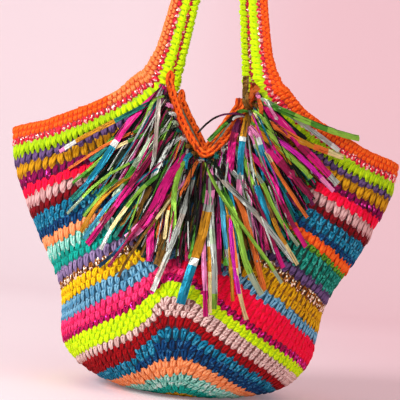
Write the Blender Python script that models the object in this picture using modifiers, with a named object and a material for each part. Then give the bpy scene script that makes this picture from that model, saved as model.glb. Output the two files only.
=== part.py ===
"""A crocheted shoulder bag with a V cut in its front and back, and a foil fringe.

The body is worked in rounds, like a sock that starts on a line from front to back
under the base. The rounds rise to a point at the middle of the front and of the back
and lie low at the two sides. The last rounds leave the wall beside each V and carry on
over it as a handle.

Units are metres, +Z is up, the front faces -Y and the base stands on Z = 0.
"""
import math
from dataclasses import dataclass

import bmesh
import bpy
import numpy as np
from mathutils import Vector

# Base and belly of the body, half sizes measured from the upright axis
BASE_HALF_WIDTH = 0.046
BASE_HALF_DEPTH = 0.054
BELLY_HEIGHT = 0.055
BELLY_HALF_WIDTH = 0.130
BELLY_HALF_DEPTH = 0.118
WAIST_HEIGHT = 0.085
WAIST_HALF_WIDTH = 0.134
WAIST_HALF_DEPTH = 0.120
SHOULDER_HEIGHT = 0.175
SHOULDER_HALF_WIDTH = 0.179
SHOULDER_HALF_DEPTH = 0.092
MOUTH_HEIGHT = 0.240
MOUTH_HALF_WIDTH = 0.200
MOUTH_HALF_DEPTH = 0.062
MOUTH_POINTEDNESS = 1.75
HANDLE_ROOT_HEIGHT = 0.305

# Crocheted wall
WALL_THICKNESS = 0.0050
ROUND_RIDGE = 0.0016
WALL_ROUNDS = 46
SIDE_ROUND_PITCH = 0.0071
FRONT_ROUND_PITCH = 0.00783
START_LINE_SHORTFALL = 0.0071
FIRST_WHOLE_ROUND = 8
BASE_RINGS = 3
WALL_SEGMENTS_PER_QUARTER = 8
INNER_WALL_STEPS = 8

# Lining
LINING_THICKNESS = 0.0010
LINING_CLEARANCE = 0.0010

# Band of the last rounds, which forms the side rims and the handles
BAND_THICKNESS = 0.0050
RIM_BAND_WIDTH = 0.031
ROOT_BAND_WIDTH = 0.021
ROOT_GUSSET = 0.009
ROOT_GUSSET_REACH = 0.045
STRAP_WIDTH = 0.017
NEON_SHARE = 0.36
GLITTER_SHARE = 0.24
HANDLE_TOP_HEIGHT = 0.552
FRONT_HANDLE_TOP_GAP = 0.037
BACK_HANDLE_TOP_GAP = 0.022
FRONT_HANDLE_LEAN = 0.024
BACK_HANDLE_LEAN = 0.024
FRONT_STRAP_FLARE = 1.4
BACK_STRAP_FLARE = 1.2
FLARE_START = 0.45
LEG_STEPS = 12
LEG_CROWDING = 1.35
TOP_ARC_STEPS = 5
EDGE_EASING = 2
EASED_HALF_WIDTH = 0.130

# V necks
FRONT_NECK_BOTTOM_HEIGHT = 0.236
BACK_NECK_BOTTOM_HEIGHT = 0.247
FRONT_NECK_HALF_WIDTH = 0.0415
BACK_NECK_HALF_WIDTH = 0.0360
FRONT_NECK_BELLY = 0.30
BACK_NECK_BELLY = 0.02
TRIM_RADIUS = 0.0046
TRIM_STEPS = 9

# Foil fringe
TUFT_COUNT = 20
STRIPS_PER_TUFT = 5
TUFT_SIDE_MARGIN = 0.04
KNOT_DEPTH = 0.0036
KNOT_LENGTH = 0.0075
STRIP_THICKNESS = 0.0007
STRIP_SIDE_GAP = 0.06
STRIP_STEPS = 2
STRIP_LIFT = 0.0030
STRIP_FLARE = 0.010
FRINGE_LENGTH = 0.115
FRINGE_LENGTH_SPREAD = 0.030
FRINGE_LENGTH_TURN = 2.4
FRINGE_LEFT_ANGLE = math.radians(200.0)
FRINGE_RIGHT_ANGLE = math.radians(345.0)

# Gap kept between two pieces that touch
CONTACT_GAP = 0.0003

# Height at which a round's ridge has its full size, so that none reaches below the base
RIDGE_START_HEIGHT = 0.012

# Fineness of the measured curves, the step of a measured slope, and the weld of a seam
QUARTER_SAMPLES = 160
MERIDIAN_SAMPLES = 140
SLOPE_STEP = 0.0004
WELD = 0.00002


@dataclass(frozen=True)
class Face:
    """Sizes of the V and the handle on one face of the bag."""

    direction: float
    neck_half_width: float
    neck_bottom: float
    neck_belly: float
    handle_top_gap: float
    handle_lean: float
    strap_flare: float


FRONT = Face(
    -1.0,
    FRONT_NECK_HALF_WIDTH,
    FRONT_NECK_BOTTOM_HEIGHT,
    FRONT_NECK_BELLY,
    FRONT_HANDLE_TOP_GAP,
    FRONT_HANDLE_LEAN,
    FRONT_STRAP_FLARE,
)
BACK = Face(
    1.0,
    BACK_NECK_HALF_WIDTH,
    BACK_NECK_BOTTOM_HEIGHT,
    BACK_NECK_BELLY,
    BACK_HANDLE_TOP_GAP,
    BACK_HANDLE_LEAN,
    BACK_STRAP_FLARE,
)

# Yarns: sRGB colour, roughness
YARNS = {
    "orange": ((1.00, 0.36, 0.07), 0.85),
    "red_glitter": ((0.85, 0.35, 0.33), 0.55),
    "neon": ((0.80, 0.95, 0.02), 0.85),
    "purple": ((0.42, 0.31, 0.50), 0.85),
    "mustard": ((0.80, 0.60, 0.05), 0.85),
    "plum": ((0.48, 0.00, 0.28), 0.60),
    "red": ((0.98, 0.03, 0.16), 0.85),
    "pale_pink": ((0.90, 0.73, 0.70), 0.85),
    "dark_red": ((0.55, 0.01, 0.07), 0.85),
    "teal": ((0.05, 0.53, 0.68), 0.55),
    "navy": ((0.02, 0.20, 0.40), 0.80),
    "peach": ((1.00, 0.56, 0.32), 0.85),
    "mint": ((0.50, 0.80, 0.74), 0.60),
    "turquoise": ((0.02, 0.62, 0.57), 0.85),
    "lilac": ((0.58, 0.48, 0.70), 0.85),
    "copper": ((0.68, 0.40, 0.16), 0.50),
    "yellow": ((0.98, 0.78, 0.02), 0.85),
    "light_blue": ((0.44, 0.66, 0.82), 0.85),
    "hot_pink": ((0.98, 0.20, 0.45), 0.85),
    "magenta": ((0.75, 0.00, 0.42), 0.60),
}

# Yarn of the wall, from the start line under the base up to the rim: (yarn, rounds)
WALL_STRIPES = (
    ("mustard", 4),
    ("turquoise", 3),
    ("mint", 2),
    ("peach", 2),
    ("navy", 4),
    ("dark_red", 2),
    ("pale_pink", 3),
    ("neon", 2),
    ("magenta", 1),
    ("hot_pink", 3),
    ("light_blue", 2),
    ("yellow", 2),
    ("copper", 1),
    ("lilac", 2),
    ("turquoise", 2),
    ("mint", 1),
    ("peach", 1),
    ("navy", 1),
    ("teal", 2),
    ("dark_red", 1),
    ("pale_pink", 1),
    ("red", 1),
    ("plum", 1),
    ("mustard", 1),
    ("purple", 1),
)

FOILS = {
    "magenta": (0.80, 0.02, 0.45),
    "silver": (0.75, 0.77, 0.76),
    "green": (0.45, 0.75, 0.15),
    "dark_green": (0.08, 0.22, 0.14),
    "blue": (0.05, 0.55, 0.70),
    "gold": (0.80, 0.55, 0.10),
    "orange": (0.95, 0.50, 0.20),
    "purple": (0.40, 0.10, 0.38),
}


def linear(srgb):
    """Turn an sRGB triple into the linear colour that a shader takes."""
    return tuple(c / 12.92 if c <= 0.04045 else ((c + 0.055) / 1.055) ** 2.4 for c in srgb)


def material(name, srgb, roughness, metallic=0.0):
    """Make a Principled material of one colour."""
    made = bpy.data.materials.new(name)
    made.use_nodes = True
    shader = made.node_tree.nodes["Principled BSDF"]
    shader.inputs["Base Color"].default_value = (*linear(srgb), 1.0)
    shader.inputs["Roughness"].default_value = roughness
    shader.inputs["Metallic"].default_value = metallic
    made.diffuse_color = (*linear(srgb), 1.0)
    return made


def smooth_curve(xs, ys):
    """Return a function that runs smoothly through the points and never overshoots them."""
    xs = np.asarray(xs, float)
    ys = np.asarray(ys, float)
    runs = np.diff(xs)
    slopes = np.diff(ys) / runs
    tangents = np.empty(len(xs))
    tangents[0] = slopes[0]
    tangents[-1] = slopes[-1]
    for i in range(1, len(xs) - 1):
        if slopes[i - 1] * slopes[i] <= 0.0:
            tangents[i] = 0.0
        else:
            ahead = 2.0 * runs[i] + runs[i - 1]
            behind = runs[i] + 2.0 * runs[i - 1]
            tangents[i] = (ahead + behind) / (ahead / slopes[i - 1] + behind / slopes[i])

    def value(x):
        x = np.clip(x, xs[0], xs[-1])
        i = np.clip(np.searchsorted(xs, x, side="right") - 1, 0, len(xs) - 2)
        t = (x - xs[i]) / runs[i]
        return (
            ys[i] * (1.0 + 2.0 * t) * (1.0 - t) ** 2
            + runs[i] * tangents[i] * t * (1.0 - t) ** 2
            + ys[i + 1] * t * t * (3.0 - 2.0 * t)
            + runs[i] * tangents[i + 1] * t * t * (t - 1.0)
        )

    return value


SECTION_HEIGHTS = (BELLY_HEIGHT, WAIST_HEIGHT, SHOULDER_HEIGHT, MOUTH_HEIGHT, HANDLE_TOP_HEIGHT)
upper_half_width = smooth_curve(
    SECTION_HEIGHTS,
    (BELLY_HALF_WIDTH, WAIST_HALF_WIDTH, SHOULDER_HALF_WIDTH, MOUTH_HALF_WIDTH, MOUTH_HALF_WIDTH),
)
upper_half_depth = smooth_curve(
    SECTION_HEIGHTS,
    (BELLY_HALF_DEPTH, WAIST_HALF_DEPTH, SHOULDER_HALF_DEPTH, MOUTH_HALF_DEPTH, MOUTH_HALF_DEPTH),
)
pointedness = smooth_curve((0.0, WAIST_HEIGHT, MOUTH_HEIGHT), (2.0, 2.0, MOUTH_POINTEDNESS))

# How far a round has fallen from its peak at the front centre towards the side, as a
# share of its whole fall, at shares of the way round: low rounds and the rim differ
LOW_ROUND = 20
low_fall = smooth_curve((0.0, 0.2, 0.4, 0.6, 0.8, 1.0), (0.0, 0.26, 0.54, 0.76, 0.92, 1.0))
rim_fall = smooth_curve((0.0, 0.2, 0.35, 0.6, 0.8, 1.0), (0.0, 0.09, 0.36, 0.72, 0.86, 0.87))


def half_sizes(z):
    """Half width and half depth of the body's outer surface at a height."""
    if z >= BELLY_HEIGHT:
        return float(upper_half_width(z)), float(upper_half_depth(z))
    bulge = math.sqrt(max(0.0, 1.0 - (1.0 - z / BELLY_HEIGHT) ** 2))
    width = BASE_HALF_WIDTH + (BELLY_HALF_WIDTH - BASE_HALF_WIDTH) * bulge
    depth = BASE_HALF_DEPTH + (BELLY_HALF_DEPTH - BASE_HALF_DEPTH) * bulge
    return width, depth


def section_point(share, z):
    """Point of the outer surface at a height, at a share of the way from front centre to side."""
    width, depth = half_sizes(z)
    power = 2.0 / float(pointedness(z))
    angle = np.linspace(0.0, math.pi / 2.0, QUARTER_SAMPLES)
    x = width * np.sin(angle) ** power
    y = -depth * np.cos(angle) ** power
    y[-1] = 0.0
    length = np.concatenate(([0.0], np.cumsum(np.hypot(np.diff(x), np.diff(y)))))
    along = share * length[-1]
    return Vector((float(np.interp(along, length, x)), float(np.interp(along, length, y)), z))


class Meridian:
    """The outer surface's line from the base edge up to the handles, at one share of the way round."""

    def __init__(self, share):
        self.share = share
        low = BELLY_HEIGHT * (1.0 - np.cos(np.linspace(0.0, math.pi / 2.0, MERIDIAN_SAMPLES // 2)))
        high = np.linspace(BELLY_HEIGHT, HANDLE_TOP_HEIGHT, MERIDIAN_SAMPLES)[1:]
        self.heights = np.concatenate((low, high))
        points = np.array([section_point(share, float(z)) for z in self.heights])
        steps = np.linalg.norm(np.diff(points, axis=0), axis=1)
        self.lengths = np.concatenate(([0.0], np.cumsum(steps)))

    def height(self, run):
        """Height reached after a run along the line."""
        return float(np.interp(run, self.lengths, self.heights))

    def run(self, height):
        """Run along the line up to a height."""
        return float(np.interp(height, self.heights, self.lengths))


def normal_at(share, z):
    """Outward unit normal of the body's outer surface."""
    before = section_point(max(share - SLOPE_STEP, 0.0), z)
    after = section_point(min(share + SLOPE_STEP, 1.0), z)
    around = after - before
    if share <= SLOPE_STEP:
        around = Vector((1.0, 0.0, 0.0))
    if share >= 1.0 - SLOPE_STEP:
        around = Vector((0.0, 1.0, 0.0))
    if z <= SLOPE_STEP:
        return Vector((0.0, 0.0, -1.0))
    rise = section_point(share, z + SLOPE_STEP) - section_point(share, z - SLOPE_STEP)
    return around.cross(rise).normalized()


def round_run(row, share):
    """Run up the meridian at which a round ends, counted from the base edge."""
    front = row * FRONT_ROUND_PITCH - START_LINE_SHORTFALL
    side = row * SIDE_ROUND_PITCH - BASE_HALF_WIDTH
    mix = min(max((row - LOW_ROUND) / (WALL_ROUNDS - LOW_ROUND), 0.0), 1.0)
    fall = (1.0 - mix) * float(low_fall(share)) + mix * float(rim_fall(share))
    return front + (side - front) * fall


def ring_lines(meridian):
    """Ring lines of the wall at one meridian, as (run, ridge, round): plain ones near the base,
    then each whole round's edge and its crest."""
    whole = round_run(FIRST_WHOLE_ROUND, meridian.share)
    lines = []
    for ring in range(BASE_RINGS):
        share = ring / BASE_RINGS
        lines.append((whole * share, 0.0, int(FIRST_WHOLE_ROUND * share)))
    for row in range(FIRST_WHOLE_ROUND, WALL_ROUNDS):
        low = round_run(row, meridian.share)
        high = round_run(row + 1, meridian.share)
        lines += [(low, 0.0, row), (0.5 * (low + high), ROUND_RIDGE, row)]
    lines.append((round_run(WALL_ROUNDS, meridian.share), 0.0, WALL_ROUNDS))
    return lines


def mirrored_quarters(quarter):
    """Full ring of points from a quarter that runs from the front centre to the right side."""
    right_front = list(quarter)
    right_back = [Vector((p.x, -p.y, p.z)) for p in reversed(quarter[:-1])]
    half = right_front + right_back
    left = [Vector((-p.x, p.y, p.z)) for p in reversed(half[1:-1])]
    return half + left


def cup_mesh(outer_rings, inner_rings, name):
    """Closed cup from rings of equal count, outer ones bottom to top and inner ones top to bottom."""
    mesh = bmesh.new()
    rings = [[mesh.verts.new(p) for p in ring] for ring in outer_rings + inner_rings]
    count = len(rings[0])
    faces_by_ring = []
    for row, (low, high) in enumerate(zip(rings, rings[1:])):
        strip = []
        for i in range(count):
            j = (i + 1) % count
            if row < len(outer_rings):
                strip.append(mesh.faces.new((low[i], low[j], high[j], high[i])))
            else:
                strip.append(mesh.faces.new((low[i], low[j], high[i])))
                strip.append(mesh.faces.new((low[j], high[j], high[i])))
        faces_by_ring.append(strip)
    mesh.faces.new(list(reversed(rings[0])))
    mesh.faces.new(rings[-1])
    bmesh.ops.recalc_face_normals(mesh, faces=mesh.faces)
    data = bpy.data.meshes.new(name)
    for face in mesh.faces:
        face.smooth = True
    for row, strip in enumerate(faces_by_ring):
        for face in strip:
            face.material_index = row
    mesh.to_mesh(data)
    mesh.free()
    return data


def wall_shares():
    """Shares of the way round at which the wall has points, for one quarter."""
    return [i / WALL_SEGMENTS_PER_QUARTER for i in range(WALL_SEGMENTS_PER_QUARTER + 1)]


def offset_ring(meridians, runs, inset):
    """Ring at given runs, moved inwards from the outer surface."""
    quarter = []
    for meridian, run in zip(meridians, runs):
        z = meridian.height(run)
        point = section_point(meridian.share, z) - inset * normal_at(meridian.share, z)
        quarter.append(point)
    return mirrored_quarters(quarter)


def stripe_of_round(row):
    """Yarn of a round of the wall, with the first round as number 0."""
    for yarn, rounds in WALL_STRIPES:
        if row < rounds:
            return yarn
        row -= rounds
    return WALL_STRIPES[-1][0]


def make_body(meridians, yarns):
    """The crocheted wall and base as one closed cup, with a ridge for each round."""
    all_lines = [ring_lines(meridian) for meridian in meridians]
    outer = []
    for ring in range(len(all_lines[0])):
        quarter = []
        for meridian, lines in zip(meridians, all_lines):
            run, crest, _ = lines[ring]
            z = meridian.height(run)
            ridge = crest * min(1.0, z / RIDGE_START_HEIGHT)
            quarter.append(section_point(meridian.share, z) + ridge * normal_at(meridian.share, z))
        outer.append(mirrored_quarters(quarter))
    inner = []
    tops = [lines[-1][0] for lines in all_lines]
    for step in range(INNER_WALL_STEPS + 1):
        share_up = 1.0 - step / INNER_WALL_STEPS
        inner.append(offset_ring(meridians, [top * share_up for top in tops], WALL_THICKNESS))
    data = cup_mesh(outer, inner, "body")
    body = bpy.data.objects.new("body", data)
    slots = list(YARNS)
    for yarn in slots:
        data.materials.append(yarns[yarn])
    rounds = [row for _, _, row in all_lines[0]]
    for face in data.polygons:
        row = rounds[min(face.material_index, len(rounds) - 1)]
        face.material_index = slots.index(stripe_of_round(row))
    return body


def make_lining(meridians, cloth):
    """A thin plain cup inside the wall: an open surface of triangles with a thickness."""
    tops = [round_run(WALL_ROUNDS, meridian.share) for meridian in meridians]
    mesh = bmesh.new()
    rings = []
    for step in range(INNER_WALL_STEPS + 1):
        runs = [top * step / INNER_WALL_STEPS for top in tops]
        ring = offset_ring(meridians, runs, WALL_THICKNESS + LINING_CLEARANCE)
        rings.append([mesh.verts.new(point) for point in ring])
    count = len(rings[0])
    for low, high in zip(rings, rings[1:]):
        for i in range(count):
            j = (i + 1) % count
            mesh.faces.new((low[i], low[j], high[j]))
            mesh.faces.new((low[i], high[j], high[i]))
    mesh.faces.new(list(reversed(rings[0])))
    for face in mesh.faces:
        face.smooth = True
    data = bpy.data.meshes.new("lining")
    mesh.to_mesh(data)
    mesh.free()
    data.materials.append(cloth)
    lining = bpy.data.objects.new("lining", data)
    shell = lining.modifiers.new("cloth_thickness", "SOLIDIFY")
    shell.thickness = LINING_THICKNESS
    shell.offset = -1.0
    return lining


def neck_outline(face, outset):
    """Points of one side of a V, bottom to top, in (x, z), moved outwards from its line."""
    height = HANDLE_ROOT_HEIGHT - face.neck_bottom
    points = []
    for i in range(TRIM_STEPS + 1):
        t = i / TRIM_STEPS
        bulge = (1.0 - face.neck_belly) * t + face.neck_belly * math.sin(t * math.pi / 2.0)
        z = face.neck_bottom + height * t ** (1.0 + face.neck_belly)
        points.append(Vector((face.neck_half_width * bulge, z)))
    moved = []
    for i, point in enumerate(points):
        ahead = points[min(i + 1, TRIM_STEPS)]
        behind = points[max(i - 1, 0)]
        along = (ahead - behind).normalized()
        if i == 0:
            along = Vector((1.0, 0.0))
        moved.append(point + outset * Vector((along.y, -along.x)))
    return moved


def wall_depth(x, z):
    """Distance of the outer surface from the axis plane, at a place of the front view."""
    width, depth = half_sizes(z)
    power = float(pointedness(z))
    return depth * (1.0 - min(abs(x) / width, 1.0) ** power) ** (1.0 / power)


def neck_cutter(name, face, cutters):
    """Upright prism that cuts one V through the wall on one side of the bag."""
    side = neck_outline(face, TRIM_RADIUS + CONTACT_GAP)
    side[0].x = 0.0
    over = HANDLE_TOP_HEIGHT
    right = [(p.x, p.y) for p in side] + [(side[-1].x, over)]
    left = [(-x, z) for x, z in reversed(right)]
    outline = right + left[:-1]
    reach = 2.0 * BELLY_HALF_DEPTH
    curve = bpy.data.curves.new(name, "CURVE")
    curve.dimensions = "2D"
    curve.fill_mode = "BOTH"
    curve.extrude = 0.5 * reach
    spline = curve.splines.new("POLY")
    spline.points.add(len(outline) - 1)
    for point, (x, z) in zip(spline.points, outline):
        point.co = (x, z, 0.0, 1.0)
    spline.use_cyclic_u = True
    cutter = bpy.data.objects.new(name, curve)
    cutters.objects.link(cutter)
    cutter.rotation_euler = (math.pi / 2.0, 0.0, 0.0)
    cutter.location = (0.0, face.direction * 0.5 * reach, 0.0)
    return as_mesh(cutter, cutters)


def as_mesh(source, collection):
    """Replace a curve object by a closed mesh object in the same place."""
    bpy.context.view_layer.update()
    depsgraph = bpy.context.evaluated_depsgraph_get()
    data = bpy.data.meshes.new_from_object(source.evaluated_get(depsgraph))
    place = source.matrix_world.copy()
    name = source.name
    bpy.data.objects.remove(source)
    mesh = bmesh.new()
    mesh.from_mesh(data)
    bmesh.ops.remove_doubles(mesh, verts=mesh.verts, dist=WELD)
    bmesh.ops.recalc_face_normals(mesh, faces=mesh.faces)
    mesh.to_mesh(data)
    mesh.free()
    made = bpy.data.objects.new(name, data)
    made.matrix_world = place
    collection.objects.link(made)
    return made


def cut(target, cutter):
    """Take a cutter's solid out of a piece."""
    cutter.hide_render = True
    cutter.display_type = "WIRE"
    modifier = target.modifiers.new("cut_" + cutter.name, "BOOLEAN")
    modifier.operation = "DIFFERENCE"
    modifier.solver = "EXACT"
    modifier.object = cutter


def make_neck_trim(name, face, collection, yarn):
    """Chain edge along one V, on the middle of the wall's thickness."""
    right = [p for p in neck_outline(face, 0.0) if p.y < HANDLE_ROOT_HEIGHT - TRIM_RADIUS]
    line = [Vector((-p.x, p.y)) for p in reversed(right[1:])] + right
    curve = bpy.data.curves.new(name, "CURVE")
    curve.dimensions = "3D"
    curve.bevel_depth = TRIM_RADIUS
    curve.bevel_resolution = 2
    curve.use_fill_caps = True
    spline = curve.splines.new("POLY")
    spline.points.add(len(line) - 1)
    for point, (x, z) in zip(spline.points, line):
        y = face.direction * (wall_depth(x, z) - 0.5 * WALL_THICKNESS)
        point.co = (x, y, z, 1.0)
    trim = bpy.data.objects.new(name, curve)
    collection.objects.link(trim)
    trim = as_mesh(trim, collection)
    trim.data.materials.append(yarn)
    trim.data.shade_smooth()
    trim.data.set_sharp_from_angle(angle=math.radians(50.0))
    return trim


class BandStation:
    """One cross-section of the band: its inner edge, the way it faces, its width and its way across."""

    def __init__(self, edge, facing, width):
        self.edge = edge
        self.facing = facing
        self.width = width
        self.across = None


def rim_station(meridian, direction):
    """Cross-section of the band where it sits on the wall's last round."""
    z = meridian.height(round_run(WALL_ROUNDS, meridian.share))
    normal = normal_at(meridian.share, z)
    edge = section_point(meridian.share, z) - 0.5 * WALL_THICKNESS * normal
    edge.y *= -direction
    normal.y *= -direction
    width = ROOT_BAND_WIDTH + (RIM_BAND_WIDTH - ROOT_BAND_WIDTH) * meridian.share
    return BandStation(edge, normal, width)


def root_station(rim, x, direction):
    """Cross-section at the foot of a handle, on the straight run between two rim stations."""
    before = max(i for i, station in enumerate(rim) if station.edge.x < x)
    low, high = rim[before], rim[before + 1]
    share = (x - low.edge.x) / (high.edge.x - low.edge.x)
    edge = low.edge.lerp(high.edge, share)
    facing = low.facing.lerp(high.facing, share)
    facing = facing.lerp(Vector((0.0, direction, 0.0)), 0.5)
    return before + 1, BandStation(edge, facing, ROOT_BAND_WIDTH)


def handle_stations(face, root):
    """Cross-sections of one half handle, from the middle of its top down to just above its root."""
    top_radius = 0.5 * face.handle_top_gap
    crown = HANDLE_TOP_HEIGHT - STRAP_WIDTH
    spring = crown - top_radius
    facing = Vector((0.0, face.direction, 0.0))
    stations = []

    def depth_at(z):
        return root.y - face.direction * face.handle_lean * (z - root.z) / (crown - root.z)

    for i in range(TOP_ARC_STEPS):
        angle = 0.5 * math.pi * i / TOP_ARC_STEPS
        z = spring + top_radius * math.cos(angle)
        edge = Vector((top_radius * math.sin(angle), depth_at(z), z))
        stations.append(BandStation(edge, facing, STRAP_WIDTH))
    for i in range(LEG_STEPS):
        down = 1.0 - (1.0 - i / LEG_STEPS) ** LEG_CROWDING
        z = spring + (root.z - spring) * down
        x = top_radius + (root.x - top_radius) * down ** face.strap_flare
        widen = max(0.0, (down - FLARE_START) / (1.0 - FLARE_START)) ** 2
        width = STRAP_WIDTH + (ROOT_BAND_WIDTH - STRAP_WIDTH) * widen
        stations.append(BandStation(Vector((x, depth_at(z), z)), facing, width))
    return stations


def add_gusset(stations, foot):
    """Widen the band round the foot of a handle, where its outer edge sweeps from rim to strap."""
    for station in stations:
        near = max(0.0, 1.0 - (station.edge - foot).length / ROOT_GUSSET_REACH)
        station.width += ROOT_GUSSET * near * near * (3.0 - 2.0 * near)


def half_band_stations(meridians):
    """Cross-sections from the front handle's top over the right rim to the back handle's top."""
    halves = []
    for face in (FRONT, BACK):
        rim = [rim_station(meridian, face.direction) for meridian in meridians]
        first, root = root_station(rim, face.neck_half_width + TRIM_RADIUS, face.direction)
        half = handle_stations(face, root.edge) + [root] + rim[first:]
        add_gusset(half, root.edge)
        halves.append(half)
    return halves[0] + halves[1][-2::-1]


def band_profile(width):
    """Closed cross-section of the band as (across, out), with a ridge for each yarn."""
    half = 0.5 * BAND_THICKNESS
    neon = NEON_SHARE * width
    glitter = neon + GLITTER_SHARE * width
    crest = half + ROUND_RIDGE
    return (
        (0.0, half - ROUND_RIDGE),
        (0.5 * neon, crest),
        (neon, half - 0.5 * ROUND_RIDGE),
        (0.5 * (neon + glitter), crest),
        (glitter, half - 0.5 * ROUND_RIDGE),
        (0.5 * (glitter + width), crest),
        (width, half - ROUND_RIDGE),
        (width, -half),
        (0.0, -half),
    )


# Yarn of each face of the profile, in the same order
PROFILE_YARNS = ("neon", "neon", "red_glitter", "red_glitter", "orange", "orange", "orange",
                 "red_glitter", "neon")


def turn_stations(stations):
    """Square each station to the band's run, then ease its outer edge round the handles' roots."""
    last = len(stations) - 1
    outer = []
    for i, station in enumerate(stations):
        along = stations[min(i + 1, last)].edge - stations[max(i - 1, 0)].edge
        if i in (0, last):
            along.y = along.z = 0.0
        along.normalize()
        station.facing = (station.facing - station.facing.dot(along) * along).normalized()
        outer.append(station.edge + station.width * station.facing.cross(along))
    for _ in range(EDGE_EASING):
        eased = list(outer)
        for i in range(1, last):
            if outer[i].x < EASED_HALF_WIDTH:
                eased[i] = 0.25 * outer[i - 1] + 0.5 * outer[i] + 0.25 * outer[i + 1]
        outer = eased
    for station, point in zip(stations, outer):
        across = point - station.edge
        station.width = across.length
        station.across = across.normalized()


def make_band(meridians, yarns, collection):
    """The band of the last rounds: half of it lofted from section to section, then mirrored."""
    stations = half_band_stations(meridians)
    turn_stations(stations)
    mesh = bmesh.new()
    rings = []
    for i, station in enumerate(stations):
        ring = []
        for run, out in band_profile(station.width):
            point = station.edge + station.across * (run + 2.0 * CONTACT_GAP) + station.facing * out
            if i in (0, len(stations) - 1):
                point.x = 0.0
            ring.append(mesh.verts.new(point))
        rings.append(ring)
    slots = ("neon", "red_glitter", "orange")
    count = len(rings[0])
    for low, high in zip(rings, rings[1:]):
        for i in range(count):
            j = (i + 1) % count
            face = mesh.faces.new((low[i], high[i], high[j], low[j]))
            face.material_index = slots.index(PROFILE_YARNS[i])
            face.smooth = True
    bmesh.ops.recalc_face_normals(mesh, faces=mesh.faces)
    data = bpy.data.meshes.new("rim_and_handles")
    mesh.to_mesh(data)
    mesh.free()
    for slot in slots:
        data.materials.append(yarns[slot])
    band = bpy.data.objects.new("rim_and_handles", data)
    collection.objects.link(band)
    mirror = band.modifiers.new("other_side", "MIRROR")
    mirror.use_axis = (True, False, False)
    mirror.merge_threshold = WELD
    return band


def tuft_roots():
    """Middle and direction of each tuft's root along the front V, left to right, in (x, z)."""
    side = neck_outline(FRONT, TRIM_RADIUS + 2.0 * CONTACT_GAP)
    line = [Vector((-p.x, p.y)) for p in reversed(side)] + side
    lengths = [0.0]
    for a, b in zip(line, line[1:]):
        lengths.append(lengths[-1] + (b - a).length)
    xs = [p.x for p in line]
    zs = [p.y for p in line]
    roots = []
    for i in range(TUFT_COUNT + 1):
        run = lengths[-1] * i / TUFT_COUNT
        place = Vector((float(np.interp(run, lengths, xs)), float(np.interp(run, lengths, zs))))
        angle = FRINGE_LEFT_ANGLE + (FRINGE_RIGHT_ANGLE - FRINGE_LEFT_ANGLE) * i / TUFT_COUNT
        roots.append((place, Vector((math.cos(angle), math.sin(angle)))))
    return roots


def on_front(point, lift):
    """Place of the front view carried onto the front wall, a distance proud of it."""
    return Vector((point.x, -(wall_depth(point.x, point.y) + ROUND_RIDGE + lift), point.y))


def fan_point(start, end, across, out):
    """Place of the front view inside a tuft's wedge: across from its left edge, out from its root."""
    across = TUFT_SIDE_MARGIN + (1.0 - 2.0 * TUFT_SIDE_MARGIN) * across
    left = start[0] + start[1] * out
    right = end[0] + end[1] * out
    return left.lerp(right, across)


def add_strip(mesh, ring, start, end, column, phase):
    """One foil strip, lofted outwards from a ring of four points on the knot's lower face."""
    length = FRINGE_LENGTH + FRINGE_LENGTH_SPREAD * math.sin(FRINGE_LENGTH_TURN * phase)
    layer = STRIP_LIFT * (1 + phase % 3)
    low = (column + STRIP_SIDE_GAP) / STRIPS_PER_TUFT
    high = (column + 1 - STRIP_SIDE_GAP) / STRIPS_PER_TUFT
    for step in range(1, STRIP_STEPS + 1):
        share = step / STRIP_STEPS
        out = KNOT_LENGTH + (length - KNOT_LENGTH) * share
        lift = layer + STRIP_FLARE * math.sin(math.pi * share) ** 2
        top = lift + STRIP_THICKNESS
        corners = ((low, lift), (high, lift), (high, top), (low, top))
        ahead = [mesh.verts.new(on_front(fan_point(start, end, a, out), h)) for a, h in corners]
        for i in range(4):
            j = (i + 1) % 4
            mesh.faces.new((ring[i], ring[j], ahead[j], ahead[i]))
        ring = ahead
    mesh.faces.new(ring)


def make_tuft(index, start, end, foil):
    """One knotted bunch of foil strips, as a fan that leaves the knot's lower face."""
    mesh = bmesh.new()
    heights = (CONTACT_GAP, CONTACT_GAP + KNOT_DEPTH)
    knot = {}
    for out in (0.0, KNOT_LENGTH):
        for i in range(STRIPS_PER_TUFT + 1):
            place = fan_point(start, end, i / STRIPS_PER_TUFT, out)
            knot[out, i] = [mesh.verts.new(on_front(place, height)) for height in heights]
    for i in range(STRIPS_PER_TUFT):
        root_a, root_b = knot[0.0, i], knot[0.0, i + 1]
        far_a, far_b = knot[KNOT_LENGTH, i], knot[KNOT_LENGTH, i + 1]
        mesh.faces.new((root_a[1], root_b[1], far_b[1], far_a[1]))
        mesh.faces.new((root_a[0], far_a[0], far_b[0], root_b[0]))
        mesh.faces.new((root_a[1], root_a[0], root_b[0], root_b[1]))
        phase = index * STRIPS_PER_TUFT + i
        add_strip(mesh, [far_a[0], far_b[0], far_b[1], far_a[1]], start, end, i, phase)
    for i in (0, STRIPS_PER_TUFT):
        root, far = knot[0.0, i], knot[KNOT_LENGTH, i]
        mesh.faces.new((root[1], far[1], far[0], root[0]))
    bmesh.ops.recalc_face_normals(mesh, faces=mesh.faces)
    name = f"fringe_tuft_{index + 1:02d}"
    data = bpy.data.meshes.new(name)
    mesh.to_mesh(data)
    mesh.free()
    data.materials.append(foil)
    return bpy.data.objects.new(name, data)


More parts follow.
